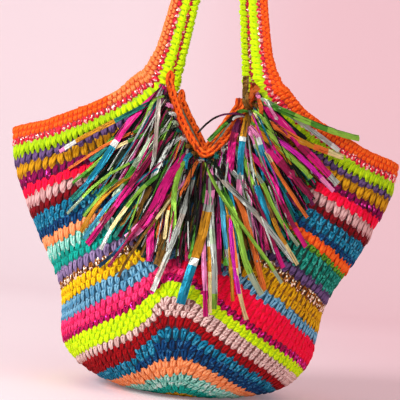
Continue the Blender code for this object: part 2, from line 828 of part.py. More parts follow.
def main():
    """Build the bag in a scene of its own."""
    for old in list(bpy.data.objects):
        bpy.data.objects.remove(old)
    bag = bpy.data.collections.new("crocheted_bag")
    cutters = bpy.data.collections.new("cutters")
    bpy.context.scene.collection.children.link(bag)
    bpy.context.scene.collection.children.link(cutters)

    yarns = {name: material(name + "_yarn", srgb, rough) for name, (srgb, rough) in YARNS.items()}
    foils = [material(name + "_foil", srgb, 0.3, 1.0) for name, srgb in FOILS.items()]
    cloth = material("grey_green_lining", (0.42, 0.47, 0.42), 0.9)

    meridians = [Meridian(share) for share in wall_shares()]
    body = make_body(meridians, yarns)
    bag.objects.link(body)
    lining = make_lining(meridians, cloth)
    bag.objects.link(lining)
    front_cutter = neck_cutter("front_neck_cutter", FRONT, cutters)
    back_cutter = neck_cutter("back_neck_cutter", BACK, cutters)
    for piece in (body, lining):
        cut(piece, front_cutter)
        cut(piece, back_cutter)

    make_neck_trim("front_neck_trim", FRONT, bag, yarns["orange"])
    make_neck_trim("back_neck_trim", BACK, bag, yarns["orange"])
    make_band(meridians, yarns, bag)

    roots = tuft_roots()
    for index in range(TUFT_COUNT):
        foil = foils[3 * index % len(foils)]
        bag.objects.link(make_tuft(index, roots[index], roots[index + 1], foil))


main()
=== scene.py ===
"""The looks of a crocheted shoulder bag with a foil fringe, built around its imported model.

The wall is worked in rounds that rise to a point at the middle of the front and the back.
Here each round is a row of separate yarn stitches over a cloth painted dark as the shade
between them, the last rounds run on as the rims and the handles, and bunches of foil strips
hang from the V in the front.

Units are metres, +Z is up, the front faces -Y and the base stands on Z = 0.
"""
from __future__ import annotations

import logging
import math
from collections.abc import Callable, Sequence
from dataclasses import dataclass
from enum import Enum
from typing import NamedTuple

import bmesh
import bpy
import numpy as np
from bpy.types import ID, Material, Mesh, Node, NodeSocket, NodeTree, Object
from mathutils import Euler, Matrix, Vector

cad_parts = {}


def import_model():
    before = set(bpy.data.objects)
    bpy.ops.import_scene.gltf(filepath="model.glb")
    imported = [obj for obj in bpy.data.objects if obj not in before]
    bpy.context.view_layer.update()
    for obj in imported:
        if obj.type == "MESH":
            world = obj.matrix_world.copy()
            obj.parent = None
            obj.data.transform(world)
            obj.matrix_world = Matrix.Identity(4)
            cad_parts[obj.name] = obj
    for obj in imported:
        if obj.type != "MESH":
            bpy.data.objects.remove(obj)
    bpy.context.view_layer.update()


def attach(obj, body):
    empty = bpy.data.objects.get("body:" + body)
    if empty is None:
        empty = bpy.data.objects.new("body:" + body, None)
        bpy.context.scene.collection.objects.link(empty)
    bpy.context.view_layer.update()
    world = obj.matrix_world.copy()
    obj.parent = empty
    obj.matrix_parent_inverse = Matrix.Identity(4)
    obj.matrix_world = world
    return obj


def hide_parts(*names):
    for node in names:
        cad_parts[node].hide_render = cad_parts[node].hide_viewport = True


log = logging.getLogger("bag")

Array = np.ndarray
Three = tuple[float, float, float]
Faces = list[tuple[int, ...]]
BODY = "root"

# Fineness of the table of the wall's surface, and of one side of a V
SHARE_STEPS = 200
HEIGHT_STEPS = 420
ROUND_STEP = 0.1
TOP_ROUND = 56.0
QUARTER_SAMPLES = 200
NECK_STEPS = 60


def linear(code: str) -> tuple[float, float, float, float]:
    """Turn an sRGB hex colour into the linear colour that a shader takes.

    Args:
        code: Colour such as "#FF5A10".

    Returns:
        Linear red, green, blue and an alpha of 1.
    """
    parts = [int(code[i:i + 2], 16) / 255.0 for i in (1, 3, 5)]
    made = [c / 12.92 if c <= 0.04045 else ((c + 0.055) / 1.055) ** 2.4 for c in parts]
    return made[0], made[1], made[2], 1.0


def toned(colour: tuple[float, ...], share: float, white: float = 0.0) -> tuple[float, ...]:
    """Take a share of a linear colour and add a share of white."""
    return tuple(white + share * c for c in colour[:3]) + (1.0,)


def feed(tree: NodeTree, node: Node, feeds: dict) -> None:
    """Give a node its values and its links.

    Args:
        tree: Tree of the node.
        node: Node that is fed.
        feeds: Value, source socket or source node for each input, by the input's name or
            number; a source node gives its first output.
    """
    for name, value in feeds.items():
        if isinstance(value, Node):
            value = value.outputs[0]
        if isinstance(value, NodeSocket):
            tree.links.new(value, node.inputs[name])
        else:
            node.inputs[name].default_value = value


def add_node(tree: NodeTree, kind: str, feeds: dict, **settings: object) -> Node:
    """Add a node with its settings, its values and its links.

    Args:
        tree: Tree that gets the node.
        kind: Blender's name for the kind of node.
        feeds: What its inputs get, as the function feed takes it.
        settings: Properties of the node itself.

    Returns:
        The new node.
    """
    node = tree.nodes.new(kind)
    for name, value in settings.items():
        setattr(node, name, value)
    feed(tree, node, feeds)
    return node


def new_material(name: str) -> tuple[Material, NodeTree, Node]:
    """Start a material.

    Args:
        name: Its name.

    Returns:
        The material, its tree and its shader.
    """
    made = bpy.data.materials.new(name)
    made.use_nodes = True
    return made, made.node_tree, made.node_tree.nodes["Principled BSDF"]


def smooth_curve(xs: Sequence[float], ys: Sequence[float]) -> Callable[[Array], Array]:
    """Make a function that runs smoothly through points and never overshoots them.

    Args:
        xs: Places of the points, rising.
        ys: Values at the points.

    Returns:
        A function of an array of places.
    """
    places = np.asarray(xs, float)
    values = np.asarray(ys, float)
    runs = np.diff(places)
    slopes = np.diff(values) / runs
    tangents = np.zeros(len(places))
    tangents[0] = slopes[0]
    tangents[-1] = slopes[-1]
    for i in range(1, len(places) - 1):
        if slopes[i - 1] * slopes[i] > 0.0:
            ahead = 2.0 * runs[i] + runs[i - 1]
            behind = runs[i] + 2.0 * runs[i - 1]
            tangents[i] = (ahead + behind) / (ahead / slopes[i - 1] + behind / slopes[i])

    def value(x: Array) -> Array:
        """Read the curve.

        Args:
            x: Places.

        Returns:
            Its value at each place.
        """
        x = np.clip(x, places[0], places[-1])
        i = np.clip(np.searchsorted(places, x, side="right") - 1, 0, len(places) - 2)
        t = (x - places[i]) / runs[i]
        return (
            values[i] * (1.0 + 2.0 * t) * (1.0 - t) ** 2
            + runs[i] * tangents[i] * t * (1.0 - t) ** 2
            + values[i + 1] * t * t * (3.0 - 2.0 * t)
            + runs[i] * tangents[i + 1] * t * t * (t - 1.0)
        )

    return value


def unit(vectors: Array) -> Array:
    """Scale each vector to a length of 1."""
    return vectors / np.maximum(np.linalg.norm(vectors, axis=-1, keepdims=True), 1e-12)


def run_along(points: Array) -> Array:
    """Run along a line of points up to each of them."""
    return np.concatenate(([0.0], np.cumsum(np.linalg.norm(np.diff(points, axis=0), axis=1))))


def read_between(places: Array, known: Array, table: Array) -> Array:
    """Read each column of a table at places, where its rows stand at the known places."""
    return np.stack([np.interp(places, known, column) for column in table.T], axis=1)


def smooth_loop(values: Array, sigma: float) -> Array:
    """Smooth rows of values round a closed loop.

    Args:
        values: One row of numbers for each place of the loop.
        sigma: Reach of the smoothing, in places.

    Returns:
        The smoothed rows.
    """
    reach = int(math.ceil(3.0 * sigma))
    weights = np.exp(-0.5 * (np.arange(-reach, reach + 1) / sigma) ** 2)
    weights /= weights.sum()
    made = np.zeros_like(values)
    for shift, weight in zip(range(-reach, reach + 1), weights):
        made += weight * np.roll(values, -shift, axis=0)
    return made


def patches(
    rows: int, columns: int, first: int = 0, closed: tuple[bool, bool] = (False, True), flip: bool = False
) -> Faces:
    """Faces between neighbouring rows of points.

    Args:
        rows: How many rows there are.
        columns: How many points each row has.
        first: Number of the first point.
        closed: Whether the last row joins the first, and whether each row is a ring.
        flip: Whether a face goes round the other way.

    Returns:
        The faces, row by row.
    """
    made = []
    for r in range(rows if closed[0] else rows - 1):
        low = first + r * columns
        high = first + (r + 1) % rows * columns
        for i in range(columns if closed[1] else columns - 1):
            j = (i + 1) % columns
            ways = (low + j, high + j, high + i)
            made.append((low + i, *(reversed(ways) if flip else ways)))
    return made


def cap_ring(first: int, count: int) -> Faces:
    """Faces that close a ring of an even number of points, in bands from side to side.

    Args:
        first: Number of the ring's first point.
        count: How many points it has.

    Returns:
        The faces.
    """
    faces = [(first, first + 1, first + count - 1)]
    half = count // 2
    for i in range(1, half - 1):
        faces.append((first + i, first + i + 1, first + count - i - 1, first + count - i))
    faces.append((first + half - 1, first + half, first + half + 1))
    return faces


def show(name: str, data: ID) -> Object:
    """Put a new object in the scene.

    Args:
        name: Its name.
        data: Its mesh, lamp or camera.

    Returns:
        The object.
    """
    made = bpy.data.objects.new(name, data)
    bpy.context.scene.collection.objects.link(made)
    return made


def mesh_piece(
    name: str, points: Array, faces: Faces, materials: list[Material], slots: Sequence[int] = (),
    smooth: bool = True,
) -> Object:
    """Make an object from points and faces.

    Args:
        name: Name of the object.
        points: One row of three coordinates for each point.
        faces: Point numbers of each face.
        materials: Its materials.
        slots: Material number of each face, or none where all take the first.
        smooth: Whether it is shaded smooth.

    Returns:
        The new object, in the scene.
    """
    data = bpy.data.meshes.new(name)
    data.from_pydata([tuple(p) for p in points], [], faces)
    for material in materials:
        data.materials.append(material)
    data.polygons.foreach_set("use_smooth", [smooth] * len(data.polygons))
    if slots:
        data.polygons.foreach_set("material_index", slots)
    data.update()
    return show(name, data)


def add_uv(data: Mesh, name: str, uvs: list[tuple[float, float]]) -> None:
    """Give a mesh a UV map, with one place for each corner of each face."""
    data.uv_layers.new(name=name).data.foreach_set("uv", [c for uv in uvs for c in uv])


def close_seams(piece: Object, distance: float = 0.0) -> None:
    """Turn all faces outwards, and first merge points that lie together.

    Args:
        piece: Object to mend.
        distance: Greatest distance of two points that are merged, or 0 to merge none.
    """
    mesh = bmesh.new()
    mesh.from_mesh(piece.data)
    if distance:
        bmesh.ops.remove_doubles(mesh, verts=mesh.verts, dist=distance)
        bmesh.ops.dissolve_degenerate(mesh, edges=mesh.edges, dist=distance * 0.5)
    bmesh.ops.recalc_face_normals(mesh, faces=mesh.faces)
    mesh.to_mesh(piece.data)
    mesh.free()


# Fineness of a stitch's tubes, the shares of a leg at which its offsets and radii hold, and
# the start and the length of the leg's arch in half waves
STITCH_SIDES = 5
STITCH_STATIONS = 4
LEG_SHARES = (0.0, 0.4, 1.0)
ARCH_START = 0.18
ARCH_RUN = 0.9

# The bar's line as x, z and share of its radius, its height and its slant
BAR_LINE = ((-0.44, -0.10, 0.6), (-0.2, 0.06, 1.0), (0.2, 0.06, 1.0), (0.44, -0.10, 0.6))
BAR_HEIGHT = 0.22
BAR_SLANT = 0.25


@dataclass(frozen=True)
class StitchShape:
    """A V of two yarn legs, in a unit box: x across, y up the fabric and z outwards.

    Where the bar has a radius, a short bar of yarn lies across the lower end of the legs.
    """

    offsets: Three
    radii: Three
    drop: float = 0.66
    rise: float = 0.50
    swell: float = 0.12
    sunk: float = 0.22
    lean: float = 0.0
    bar: float = 0.0

    def _tubes(self) -> list[list[tuple[Vector, float]]]:
        """Work out the stitch's tubes.

        Returns:
            Middle point and radius of each station of each tube.
        """
        tubes = []
        for way in (-1.0, 1.0):
            tube = []
            for k in range(STITCH_STATIONS):
                t = k / (STITCH_STATIONS - 1)
                x = way * float(np.interp(t, LEG_SHARES, self.offsets)) + self.lean * (t - 0.5)
                y = -self.drop + (self.drop + self.rise) * t
                arch = math.sin(math.pi * min(1.0, ARCH_START + ARCH_RUN * t))
                middle = Vector((x, y, self.swell * arch - self.sunk * t ** 3))
                tube.append((middle, float(np.interp(t, LEG_SHARES, self.radii))))
            tubes.append(tube)
        if self.bar:
            tubes.append([
                (Vector((x, BAR_HEIGHT + BAR_SLANT * x, z)), self.bar * share) for x, z, share in BAR_LINE
            ])
        return tubes

    def build(self, name: str) -> Object:
        """Make the stitch of closed tubes, with a UV map along and around the yarn.

        Args:
            name: Name of the object.

        Returns:
            The stitch, outside the scene.
        """
        points: list[Three] = []
        faces: Faces = []
        uvs: list[tuple[float, float]] = []
        sides = STITCH_SIDES
        for tube in self._tubes():
            first = len(points)
            last = len(tube) - 1
            flat = abs(tube[-1][0].x - tube[0][0].x) > abs(tube[-1][0].y - tube[0][0].y)
            for middle, radius in tube:
                for s in range(sides):
                    angle = math.tau * s / sides
                    reach = math.cos(angle) * radius
                    aside = Vector((0.0, -reach, 0.0)) if flat else Vector((reach, 0.0, 0.0))
                    points.append(tuple(middle + aside + Vector((0.0, 0.0, math.sin(angle) * radius))))
            faces += patches(len(tube), sides, first, flip=True)
            faces.append(tuple(first + s for s in range(sides)))
            faces.append(tuple(first + last * sides + s for s in reversed(range(sides))))
            uvs += [
                (u / last, v / sides)
                for k in range(last)
                for s in range(sides)
                for u, v in ((k, s), (k + 1, s), (k + 1, s + 1), (k, s + 1))
            ]
            uvs += [(0.0, s / sides) for s in range(sides)]
            uvs += [(1.0, s / sides) for s in reversed(range(sides))]
        data = bpy.data.meshes.new(name)
        data.from_pydata(points, [], faces)
        data.polygons.foreach_set("use_smooth", [True] * len(data.polygons))
        add_uv(data, "yarn", uvs)
        return bpy.data.objects.new(name, data)


class Option(Enum):
    """Named option, whose label stands in the names of pieces and materials."""

    @property
    def label(self) -> str:
        """The option's name in small letters."""
        return self.name.lower()


class StitchStyle(Option):
    """Shapes of a stitch as it shows on the right side of the fabric."""

    PLUMP = StitchShape((0.04, 0.16, 0.21), (0.17, 0.33, 0.27), lean=0.08)
    FINE = StitchShape((0.04, 0.18, 0.28), (0.17, 0.26, 0.22), lean=0.16, bar=0.17)
    OPEN = StitchShape((0.04, 0.18, 0.28), (0.15, 0.22, 0.17), lean=0.16, bar=0.14)
    CHAIN = StitchShape((0.05, 0.25, 0.28), (0.10, 0.22, 0.13), swell=0.14, sunk=0.16)


# Yarn of about 3 mm: two plies that turn once and a half along a leg of the stitch, with
# grooves 0.4 mm deep, fibres drawn 1.2 mm apart and flecks of 2.2 mm, all three coarser than
# the real ones so that they show
PLIES = 2.0
PLY_TURNS = 1.5
PLY_GROOVE = 0.0004
FUZZ_SIZE = 0.0012
GLITTER_SIZE = 0.0022

# How far stitches of smooth, even yarn stand out; they merge to a nearly flat cloth
SOFT_SWELL = 0.0036


@dataclass(frozen=True)
class YarnFinish:
    """Soft acrylic yarn, spun from two plies: matt, with a fuzzy edge and painted shade in its grooves.

    The shade is the painted shade of the grooves, and the gap shade that painted on the cloth between the
    stitches.
    """

    colour: str
    shade: str
    gap: str
    style: StitchStyle = StitchStyle.PLUMP
    glitter: str = ""
    glitter_share: float = 0.0
    shiny: bool = True
    roughness: float = 0.85
    swell: float = 0.0046

    def cloth(self, name: str) -> Material:
        """Make the mottled cloth that lies deep between the stitches, painted dark as the shade there.

        Args:
            name: Name of the material.

        Returns:
            The material.
        """
        made, tree, shader = new_material(name)
        place = add_node(tree, "ShaderNodeTexCoord", {}).outputs["Object"]
        fuzz = add_node(
            tree, "ShaderNodeTexNoise", {"Vector": place, "Scale": 1.0 / FUZZ_SIZE, "Detail": 2.0}
        )
        tones = {"Factor": fuzz, 6: toned(linear(self.gap), 0.5), 7: linear(self.gap)}
        colour = add_node(tree, "ShaderNodeMix", tones, data_type="RGBA").outputs[2]
        feed(tree, shader, {"Base Color": colour, "Roughness": self.roughness})
        made.diffuse_color = linear(self.shade)
        return made

    def material(self, name: str) -> Material:
        """Make the yarn's material, for pieces with a UV map along and around the yarn.

        Args:
            name: Its name.

        Returns:
            The material.
        """
        made, tree, shader = new_material(name)
        uv = add_node(tree, "ShaderNodeUVMap", {}, uv_map="yarn")
        parts = add_node(tree, "ShaderNodeSeparateXYZ", {"Vector": uv})
        around = add_node(
            tree, "ShaderNodeMath", {0: parts.outputs["Y"], 1: PLIES * math.tau}, operation="MULTIPLY"
        )
        along = {0: parts.outputs["X"], 1: PLY_TURNS * math.tau, 2: around}
        twist = add_node(tree, "ShaderNodeMath", along, operation="MULTIPLY_ADD")
        wave = add_node(tree, "ShaderNodeMath", {0: twist}, operation="SINE")
        grooves = {"Value": wave, "From Min": -1.0, "From Max": 0.2}
        ply = add_node(tree, "ShaderNodeMapRange", grooves, interpolation_type="SMOOTHSTEP")
        place = add_node(tree, "ShaderNodeTexCoord", {}).outputs["Object"]
        fibres = {"Vector": place, "Scale": 1.0 / FUZZ_SIZE, "Detail": 3.0, "Roughness": 0.7}
        fuzz = add_node(tree, "ShaderNodeTexNoise", fibres)
        tone = add_node(tree, "ShaderNodeAttribute", {}, attribute_name="tone").outputs["Fac"]
        blend = add_node(tree, "ShaderNodeMath", {0: fuzz, 1: 0.9, 2: tone}, operation="MULTIPLY_ADD")
        lights = {"Value": blend, "From Min": -0.6, "From Max": 0.9, "To Min": 0.25, "To Max": 1.0}
        light = add_node(tree, "ShaderNodeMapRange", lights)
        depth = add_node(tree, "ShaderNodeMath", {0: light, 1: ply}, operation="MULTIPLY")
        factor = add_node(tree, "ShaderNodeMapRange", {"Value": depth, "From Min": 0.0, "From Max": 0.75})
        # Painted shade: the grooves between the plies take the shade colour, varied by the fuzz and each
        # stitch's random tone
        tones = {"Factor": factor, 6: linear(self.shade), 7: linear(self.colour)}
        colour = add_node(tree, "ShaderNodeMix", tones, data_type="RGBA").outputs[2]
        feed(tree, shader, {"Roughness": self.roughness, "Specular IOR Level": 0.2})
        # Flecks: metallic glitter where the yarn is shiny; the teal's flat lighter flecks are painted
        # highlights
        if self.glitter:
            cells = add_node(tree, "ShaderNodeTexVoronoi", {"Vector": place, "Scale": 1.0 / GLITTER_SIZE})
            pick = add_node(tree, "ShaderNodeSeparateColor", {"Color": cells.outputs["Color"]})
            fleck = add_node(
                tree, "ShaderNodeMath", {0: pick, 1: 1.0 - self.glitter_share}, operation="GREATER_THAN"
            )
            tones = {"Factor": fleck, 6: colour, 7: linear(self.glitter)}
            colour = add_node(tree, "ShaderNodeMix", tones, data_type="RGBA").outputs[2]
            if self.shiny:
                polish = {"Value": fleck, "To Min": self.roughness, "To Max": 0.3}
                gloss = add_node(tree, "ShaderNodeMapRange", polish)
                feed(tree, shader, {"Metallic": fleck, "Roughness": gloss})
        height = add_node(tree, "ShaderNodeMath", {0: fuzz, 1: 0.5, 2: ply}, operation="MULTIPLY_ADD")
        bump = add_node(tree, "ShaderNodeBump", {"Strength": 0.6, "Distance": PLY_GROOVE, "Height": height})
        feed(tree, shader, {"Base Color": colour, "Normal": bump})
        made.diffuse_color = linear(self.colour)
        return made


class Yarn(Option):
    """Yarns of the bag, named by their colour."""

    ORANGE = YarnFinish("#FF7020", "#F44C08", "#E04008", swell=SOFT_SWELL)
    RED_GLITTER = YarnFinish("#F42C44", "#C80C28", "#A80820", StitchStyle.PLUMP, "#FFCCC4", 0.32, True, 0.6)
    NEON = YarnFinish("#E0FF08", "#C4F400", "#C4F400", StitchStyle.FINE, swell=SOFT_SWELL)
    PURPLE = YarnFinish("#705484", "#443058", "#281838")
    MUSTARD = YarnFinish("#ECB40C", "#C48C00", "#8C5C00", StitchStyle.OPEN)
    PLUM = YarnFinish("#8C0050", "#580034", "#380020", StitchStyle.PLUMP, "#F040A8", 0.08)
    RED = YarnFinish("#FF0844", "#FF0034", "#F80030", StitchStyle.FINE, swell=SOFT_SWELL)
    PALE_PINK = YarnFinish("#F4D4CC", "#D0A49C", "#8C5C54", StitchStyle.OPEN, swell=0.0050)
    DARK_RED = YarnFinish("#A8000C", "#80000A", "#680008", StitchStyle.FINE, swell=SOFT_SWELL)
    # The teal's lighter flecks, which have no shine, are painted highlights
    TEAL = YarnFinish("#0C80A4", "#045878", "#003048", StitchStyle.OPEN, "#44A4C4", 0.20, False)
    NAVY = YarnFinish("#064478", "#002C58", "#001C3C", StitchStyle.OPEN, "#2C70A0", 0.14, False)
    PEACH = YarnFinish("#FFAC74", "#FC8C48", "#EC7830", StitchStyle.FINE, swell=SOFT_SWELL)
    MINT = YarnFinish("#A4ECD8", "#54BCA8", "#188070", StitchStyle.OPEN, "#D8F8EC", 0.15, False)
    GREEN = YarnFinish("#70AC2C", "#3C7818", "#1C4810", StitchStyle.OPEN)
    TURQUOISE = YarnFinish("#0CB8A4", "#008C7C", "#007064", StitchStyle.FINE, swell=SOFT_SWELL)
    DEEP_TEAL = YarnFinish("#108C78", "#006050", "#003C30", StitchStyle.OPEN, "#3CB8A0", 0.18, False)
    LILAC = YarnFinish("#A48CB8", "#70608C", "#443458", StitchStyle.OPEN)
    COPPER = YarnFinish("#B06820", "#6C3400", "#3C1800", StitchStyle.OPEN, "#FFECD0", 0.36)
    YELLOW = YarnFinish("#FFE010", "#F0B000", "#B87C00", StitchStyle.OPEN)
    LIGHT_BLUE = YarnFinish("#80BCD8", "#3C84AC", "#185470", StitchStyle.OPEN, swell=0.0050)
    HOT_PINK = YarnFinish("#FC4080", "#E81058", "#D0084C", StitchStyle.FINE, swell=SOFT_SWELL)
    MAGENTA = YarnFinish("#CC0464", "#980040", "#680030", StitchStyle.OPEN, "#FF40C0", 0.12)
    OCHRE = YarnFinish("#DCA010", "#A06800", "#583800")
    DUSTY_PINK = YarnFinish("#E4B4B0", "#B47C7C", "#582C2C")
    WINE = YarnFinish("#880010", "#5C0008", "#480008")
    # A darker neon: painted shade of the band's neon row where it runs along the rims
    LIME = YarnFinish("#C0E408", "#88B400", "#486C00", StitchStyle.FINE, swell=SOFT_SWELL)
    # The trim's orange, with deeper painted shade in its grooves and between its chain's stitches
    TRIM_ORANGE = YarnFinish("#FF7424", "#DC4004", "#A02800")
    # An orange painted paler, as the light that falls on the front's left strap from the left
    PALE_ORANGE = YarnFinish("#FF9C5C", "#F07830", "#C85010", swell=SOFT_SWELL)


# Creases of the film: one about every 20 mm along a strip of 80 mm, and four across it. Along
# them lie streaks of painted reflection, near-black and pale; each stop has its place, its share of the
# film's colour and its share of white
CREASE_ALONG = 4.0
CREASE_ACROSS = 4.4
PAINTED_REFLECTIONS = ((0.39, 0.10, 0.0), (0.46, 1.0, 0.0), (0.64, 1.0, 0.0), (0.72, 0.60, 0.40))


@dataclass(frozen=True)
class FoilFinish:
    """Metallised film: a mirror-like skin, creased along its length.

    The letter stands for it in the tints of a strip.
    """

    letter: str
    colour: str
    roughness: float = 0.34

    def material(self, name: str) -> Material:
        """Make the foil's material; over its own mirroring, its creases carry painted reflections in streaks,
        near-black and pale.

        Args:
            name: Its name.

        Returns:
            The material.
        """
        made, tree, shader = new_material(name)
        full = linear(self.colour)
        uv = add_node(tree, "ShaderNodeUVMap", {}, uv_map="foil")
        crowding = {"Vector": uv, "Scale": (CREASE_ALONG, CREASE_ACROSS, 1.0)}
        crease = add_node(tree, "ShaderNodeMapping", crowding)
        creases = {"Vector": crease, "Scale": 1.0, "Detail": 4.0, "Roughness": 0.6}
        folds = add_node(tree, "ShaderNodeTexNoise", creases)
        polish = {"To Min": self.roughness - 0.1, "To Max": self.roughness + 0.2}
        shine = add_node(
            tree, "ShaderNodeMapRange", {"Value": folds, "From Min": 0.35, "From Max": 0.65, **polish}
        )
        # Painted reflections: near-black and pale streaks along the creases
        painted_reflection = add_node(tree, "ShaderNodeValToRGB", {"Fac": folds})
        stops = painted_reflection.color_ramp.elements
        stops[0].position, stops[1].position = PAINTED_REFLECTIONS[0][0], PAINTED_REFLECTIONS[-1][0]
        for place, _, _ in PAINTED_REFLECTIONS[1:-1]:
            stops.new(place)
        for stop, (_, share, white) in zip(stops, PAINTED_REFLECTIONS):
            stop.color = toned(full, share, white)
        bump = add_node(tree, "ShaderNodeBump", {"Strength": 0.7, "Distance": 0.0012, "Height": folds})
        feed(tree, shader, {"Base Color": painted_reflection, "Metallic": 0.7, "Roughness": shine, "Normal": bump})
        made.diffuse_color = full
        return made


class Foil(Option):
    """Colours of the metallised film."""

    MAGENTA = FoilFinish("M", "#C80870")
    VIOLET = FoilFinish("V", "#CC18A4")
    PINK = FoilFinish("P", "#E080B0")
    CRIMSON = FoilFinish("C", "#8C0840")
    PLUM = FoilFinish("X", "#601444")
    WHITE = FoilFinish("W", "#CCD0C8", 0.30)
    SILVER = FoilFinish("S", "#A0A49C", 0.30)
    SAGE = FoilFinish("A", "#98AA8C", 0.30)
    GREIGE = FoilFinish("K", "#A89C90", 0.30)
    GREEN = FoilFinish("G", "#448420")
    LIME = FoilFinish("L", "#88B83C")
    # Dark green film darkened almost to black, partly painted shade
    DARK_GREEN = FoilFinish("D", "#041C10")
    SEA_GREEN = FoilFinish("E", "#0C6458")
    BLUE = FoilFinish("B", "#087C98")
    LIGHT_BLUE = FoilFinish("U", "#3C94B0")
    NAVY = FoilFinish("N", "#083858")
    GOLD = FoilFinish("Y", "#B87C0C")
    ORANGE = FoilFinish("O", "#D46824")
    BRONZE = FoilFinish("R", "#6C480C")
    # Brown film darkened almost to black, partly painted shade
    BROWN = FoilFinish("T", "#100602")
    CREAM = FoilFinish("I", "#D8C488")


@dataclass(frozen=True)
class WovenCotton:
    """Plain woven cotton: matt, with a fine weave and a soft cloudy change of tone, painted shade like that
    of wrinkles.
    """

    colour: str = "#7E8C7C"
    shade: str = "#56624F"
    thread_pitch: float = 0.0009
    tones_per_metre: float = 45.0

    def material(self, name: str) -> Material:
        """Make the cloth's material; its threads are drawn 0.9 mm apart so that they show.

        Args:
            name: Its name.

        Returns:
            The material.
        """
        made, tree, shader = new_material(name)
        uv = add_node(tree, "ShaderNodeUVMap", {}, uv_map="cloth")
        threads = {"Vector": uv, "Scale": 0.5 / self.thread_pitch, "Distortion": 0.6}
        warp, weft = (
            add_node(tree, "ShaderNodeTexWave", threads, bands_direction=way).outputs["Fac"] for way in "XY"
        )
        weave = add_node(tree, "ShaderNodeMath", {0: warp, 1: weft}, operation="MULTIPLY")
        place = add_node(tree, "ShaderNodeTexCoord", {}).outputs["Object"]
        # Cloudy painted shade over the cotton, like the shade of wrinkles
        cloud = add_node(
            tree, "ShaderNodeTexNoise", {"Vector": place, "Scale": self.tones_per_metre, "Detail": 4.0}
        )
        tone = add_node(tree, "ShaderNodeMath", {0: weave, 1: 0.35, 2: cloud}, operation="MULTIPLY_ADD")
        tones = {"Factor": tone, 6: linear(self.shade), 7: linear(self.colour)}
        colour = add_node(tree, "ShaderNodeMix", tones, data_type="RGBA").outputs[2]
        bump = add_node(tree, "ShaderNodeBump", {"Strength": 0.5, "Distance": 0.0003, "Height": weave})
        feed(tree, shader, {"Base Color": colour, "Roughness": 0.9, "Normal": bump})
        return made


@dataclass(frozen=True)
class Face:
    """Sizes of the V and the handle on one face of the bag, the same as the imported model's."""

    direction: float
    neck_half_width: float
    neck_bottom: float
    neck_belly: float
    handle_top_gap: float
    handle_lean: float
    strap_flare: float


FRONT = Face(-1.0, 0.0415, 0.236, 0.30, 0.037, 0.024, 1.4)
BACK = Face(1.0, 0.0360, 0.247, 0.02, 0.022, 0.024, 1.2)

# How far the back's trim sits further into its V than its solid
BACK_TRIM_INSET = 0.0045


@dataclass
class BagForm:
    """Sizes and lines of the whole bag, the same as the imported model's."""

    base_half_width: float = 0.046
    base_half_depth: float = 0.054
    belly_height: float = 0.055
    belly_half_width: float = 0.130
    belly_half_depth: float = 0.118
    waist_height: float = 0.085
    waist_half_width: float = 0.134
    waist_half_depth: float = 0.120
    shoulder_height: float = 0.175
    shoulder_half_width: float = 0.179
    shoulder_half_depth: float = 0.092
    mouth_height: float = 0.240
    mouth_half_width: float = 0.200
    mouth_half_depth: float = 0.062
    mouth_pointedness: float = 1.75
    handle_top_height: float = 0.552
    handle_root_height: float = 0.305
    wall_rounds: float = 46.0
    low_round: float = 20.0
    side_round_pitch: float = 0.0071
    front_round_pitch: float = 0.00783
    start_line_shortfall: float = 0.0071

    def __post_init__(self) -> None:
        """Make the curves of the section's sizes and of the rounds."""
        levels = ("belly", "waist", "shoulder", "mouth")
        heights = [getattr(self, f"{level}_height") for level in levels] + [self.handle_top_height]
        widths = [getattr(self, f"{level}_half_width") for level in levels] + [self.mouth_half_width]
        depths = [getattr(self, f"{level}_half_depth") for level in levels] + [self.mouth_half_depth]
        self.upper_half_width = smooth_curve(heights, widths)
        self.upper_half_depth = smooth_curve(heights, depths)
        self.pointedness = smooth_curve(
            (0.0, self.waist_height, self.mouth_height), (2.0, 2.0, self.mouth_pointedness)
        )
        self.low_fall = smooth_curve((0.0, 0.2, 0.4, 0.6, 0.8, 1.0), (0.0, 0.26, 0.54, 0.76, 0.92, 1.0))
        self.rim_fall = smooth_curve((0.0, 0.2, 0.35, 0.6, 0.8, 1.0), (0.0, 0.09, 0.36, 0.72, 0.86, 0.87))

    def half_sizes(self, z: Array) -> tuple[Array, Array]:
        """Read the section of the outer surface.

        Args:
            z: Heights.

        Returns:
            Its half width and half depth.
        """
        below = 1.0 - np.minimum(z, self.belly_height) / self.belly_height
        bulge = np.sqrt(np.clip(1.0 - below ** 2, 0, 1))
        low_width = self.base_half_width + (self.belly_half_width - self.base_half_width) * bulge
        low_depth = self.base_half_depth + (self.belly_half_depth - self.base_half_depth) * bulge
        above = z >= self.belly_height
        width = np.where(above, self.upper_half_width(z), low_width)
        depth = np.where(above, self.upper_half_depth(z), low_depth)
        return width, depth

    def depth_at(self, x: Array, z: Array) -> Array:
        """Read how far the outer surface lies from the axis plane.

        Args:
            x: Places across in the front view.
            z: Their heights.

        Returns:
            The distances.
        """
        width, depth = self.half_sizes(np.maximum(z, 0.0))
        power = self.pointedness(z)
        share = np.minimum(np.abs(x) / width, 1.0)
        return depth * (1.0 - share ** power) ** (1.0 / power)

    def run_of_round(self, rounds: Array, share: Array) -> Array:
        """Work out how far up the meridian rounds end, from the base edge.

        Args:
            rounds: Even rounds.
            share: Shares of a quarter, from the middle to the side.

        Returns:
            The runs.
        """
        front = rounds * self.front_round_pitch - self.start_line_shortfall
        side = rounds * self.side_round_pitch - self.base_half_width
        mix = np.clip((rounds - self.low_round) / (self.wall_rounds - self.low_round), 0.0, 1.0)
        fall = (1.0 - mix) * self.low_fall(share) + mix * self.rim_fall(share)
        return front + (side - front) * fall

    def neck_side(self, face: Face) -> Array:
        """Work out one side of a V, bottom to top.

        Args:
            face: Face of the bag.

        Returns:
            Its points, in (x, z).
        """
        t = np.linspace(0.0, 1.0, NECK_STEPS + 1)
        bulge = (1.0 - face.neck_belly) * t + face.neck_belly * np.sin(t * math.pi / 2.0)
        z = face.neck_bottom + (self.handle_root_height - face.neck_bottom) * t ** (1.0 + face.neck_belly)
        return np.stack((face.neck_half_width * bulge, z), axis=1)


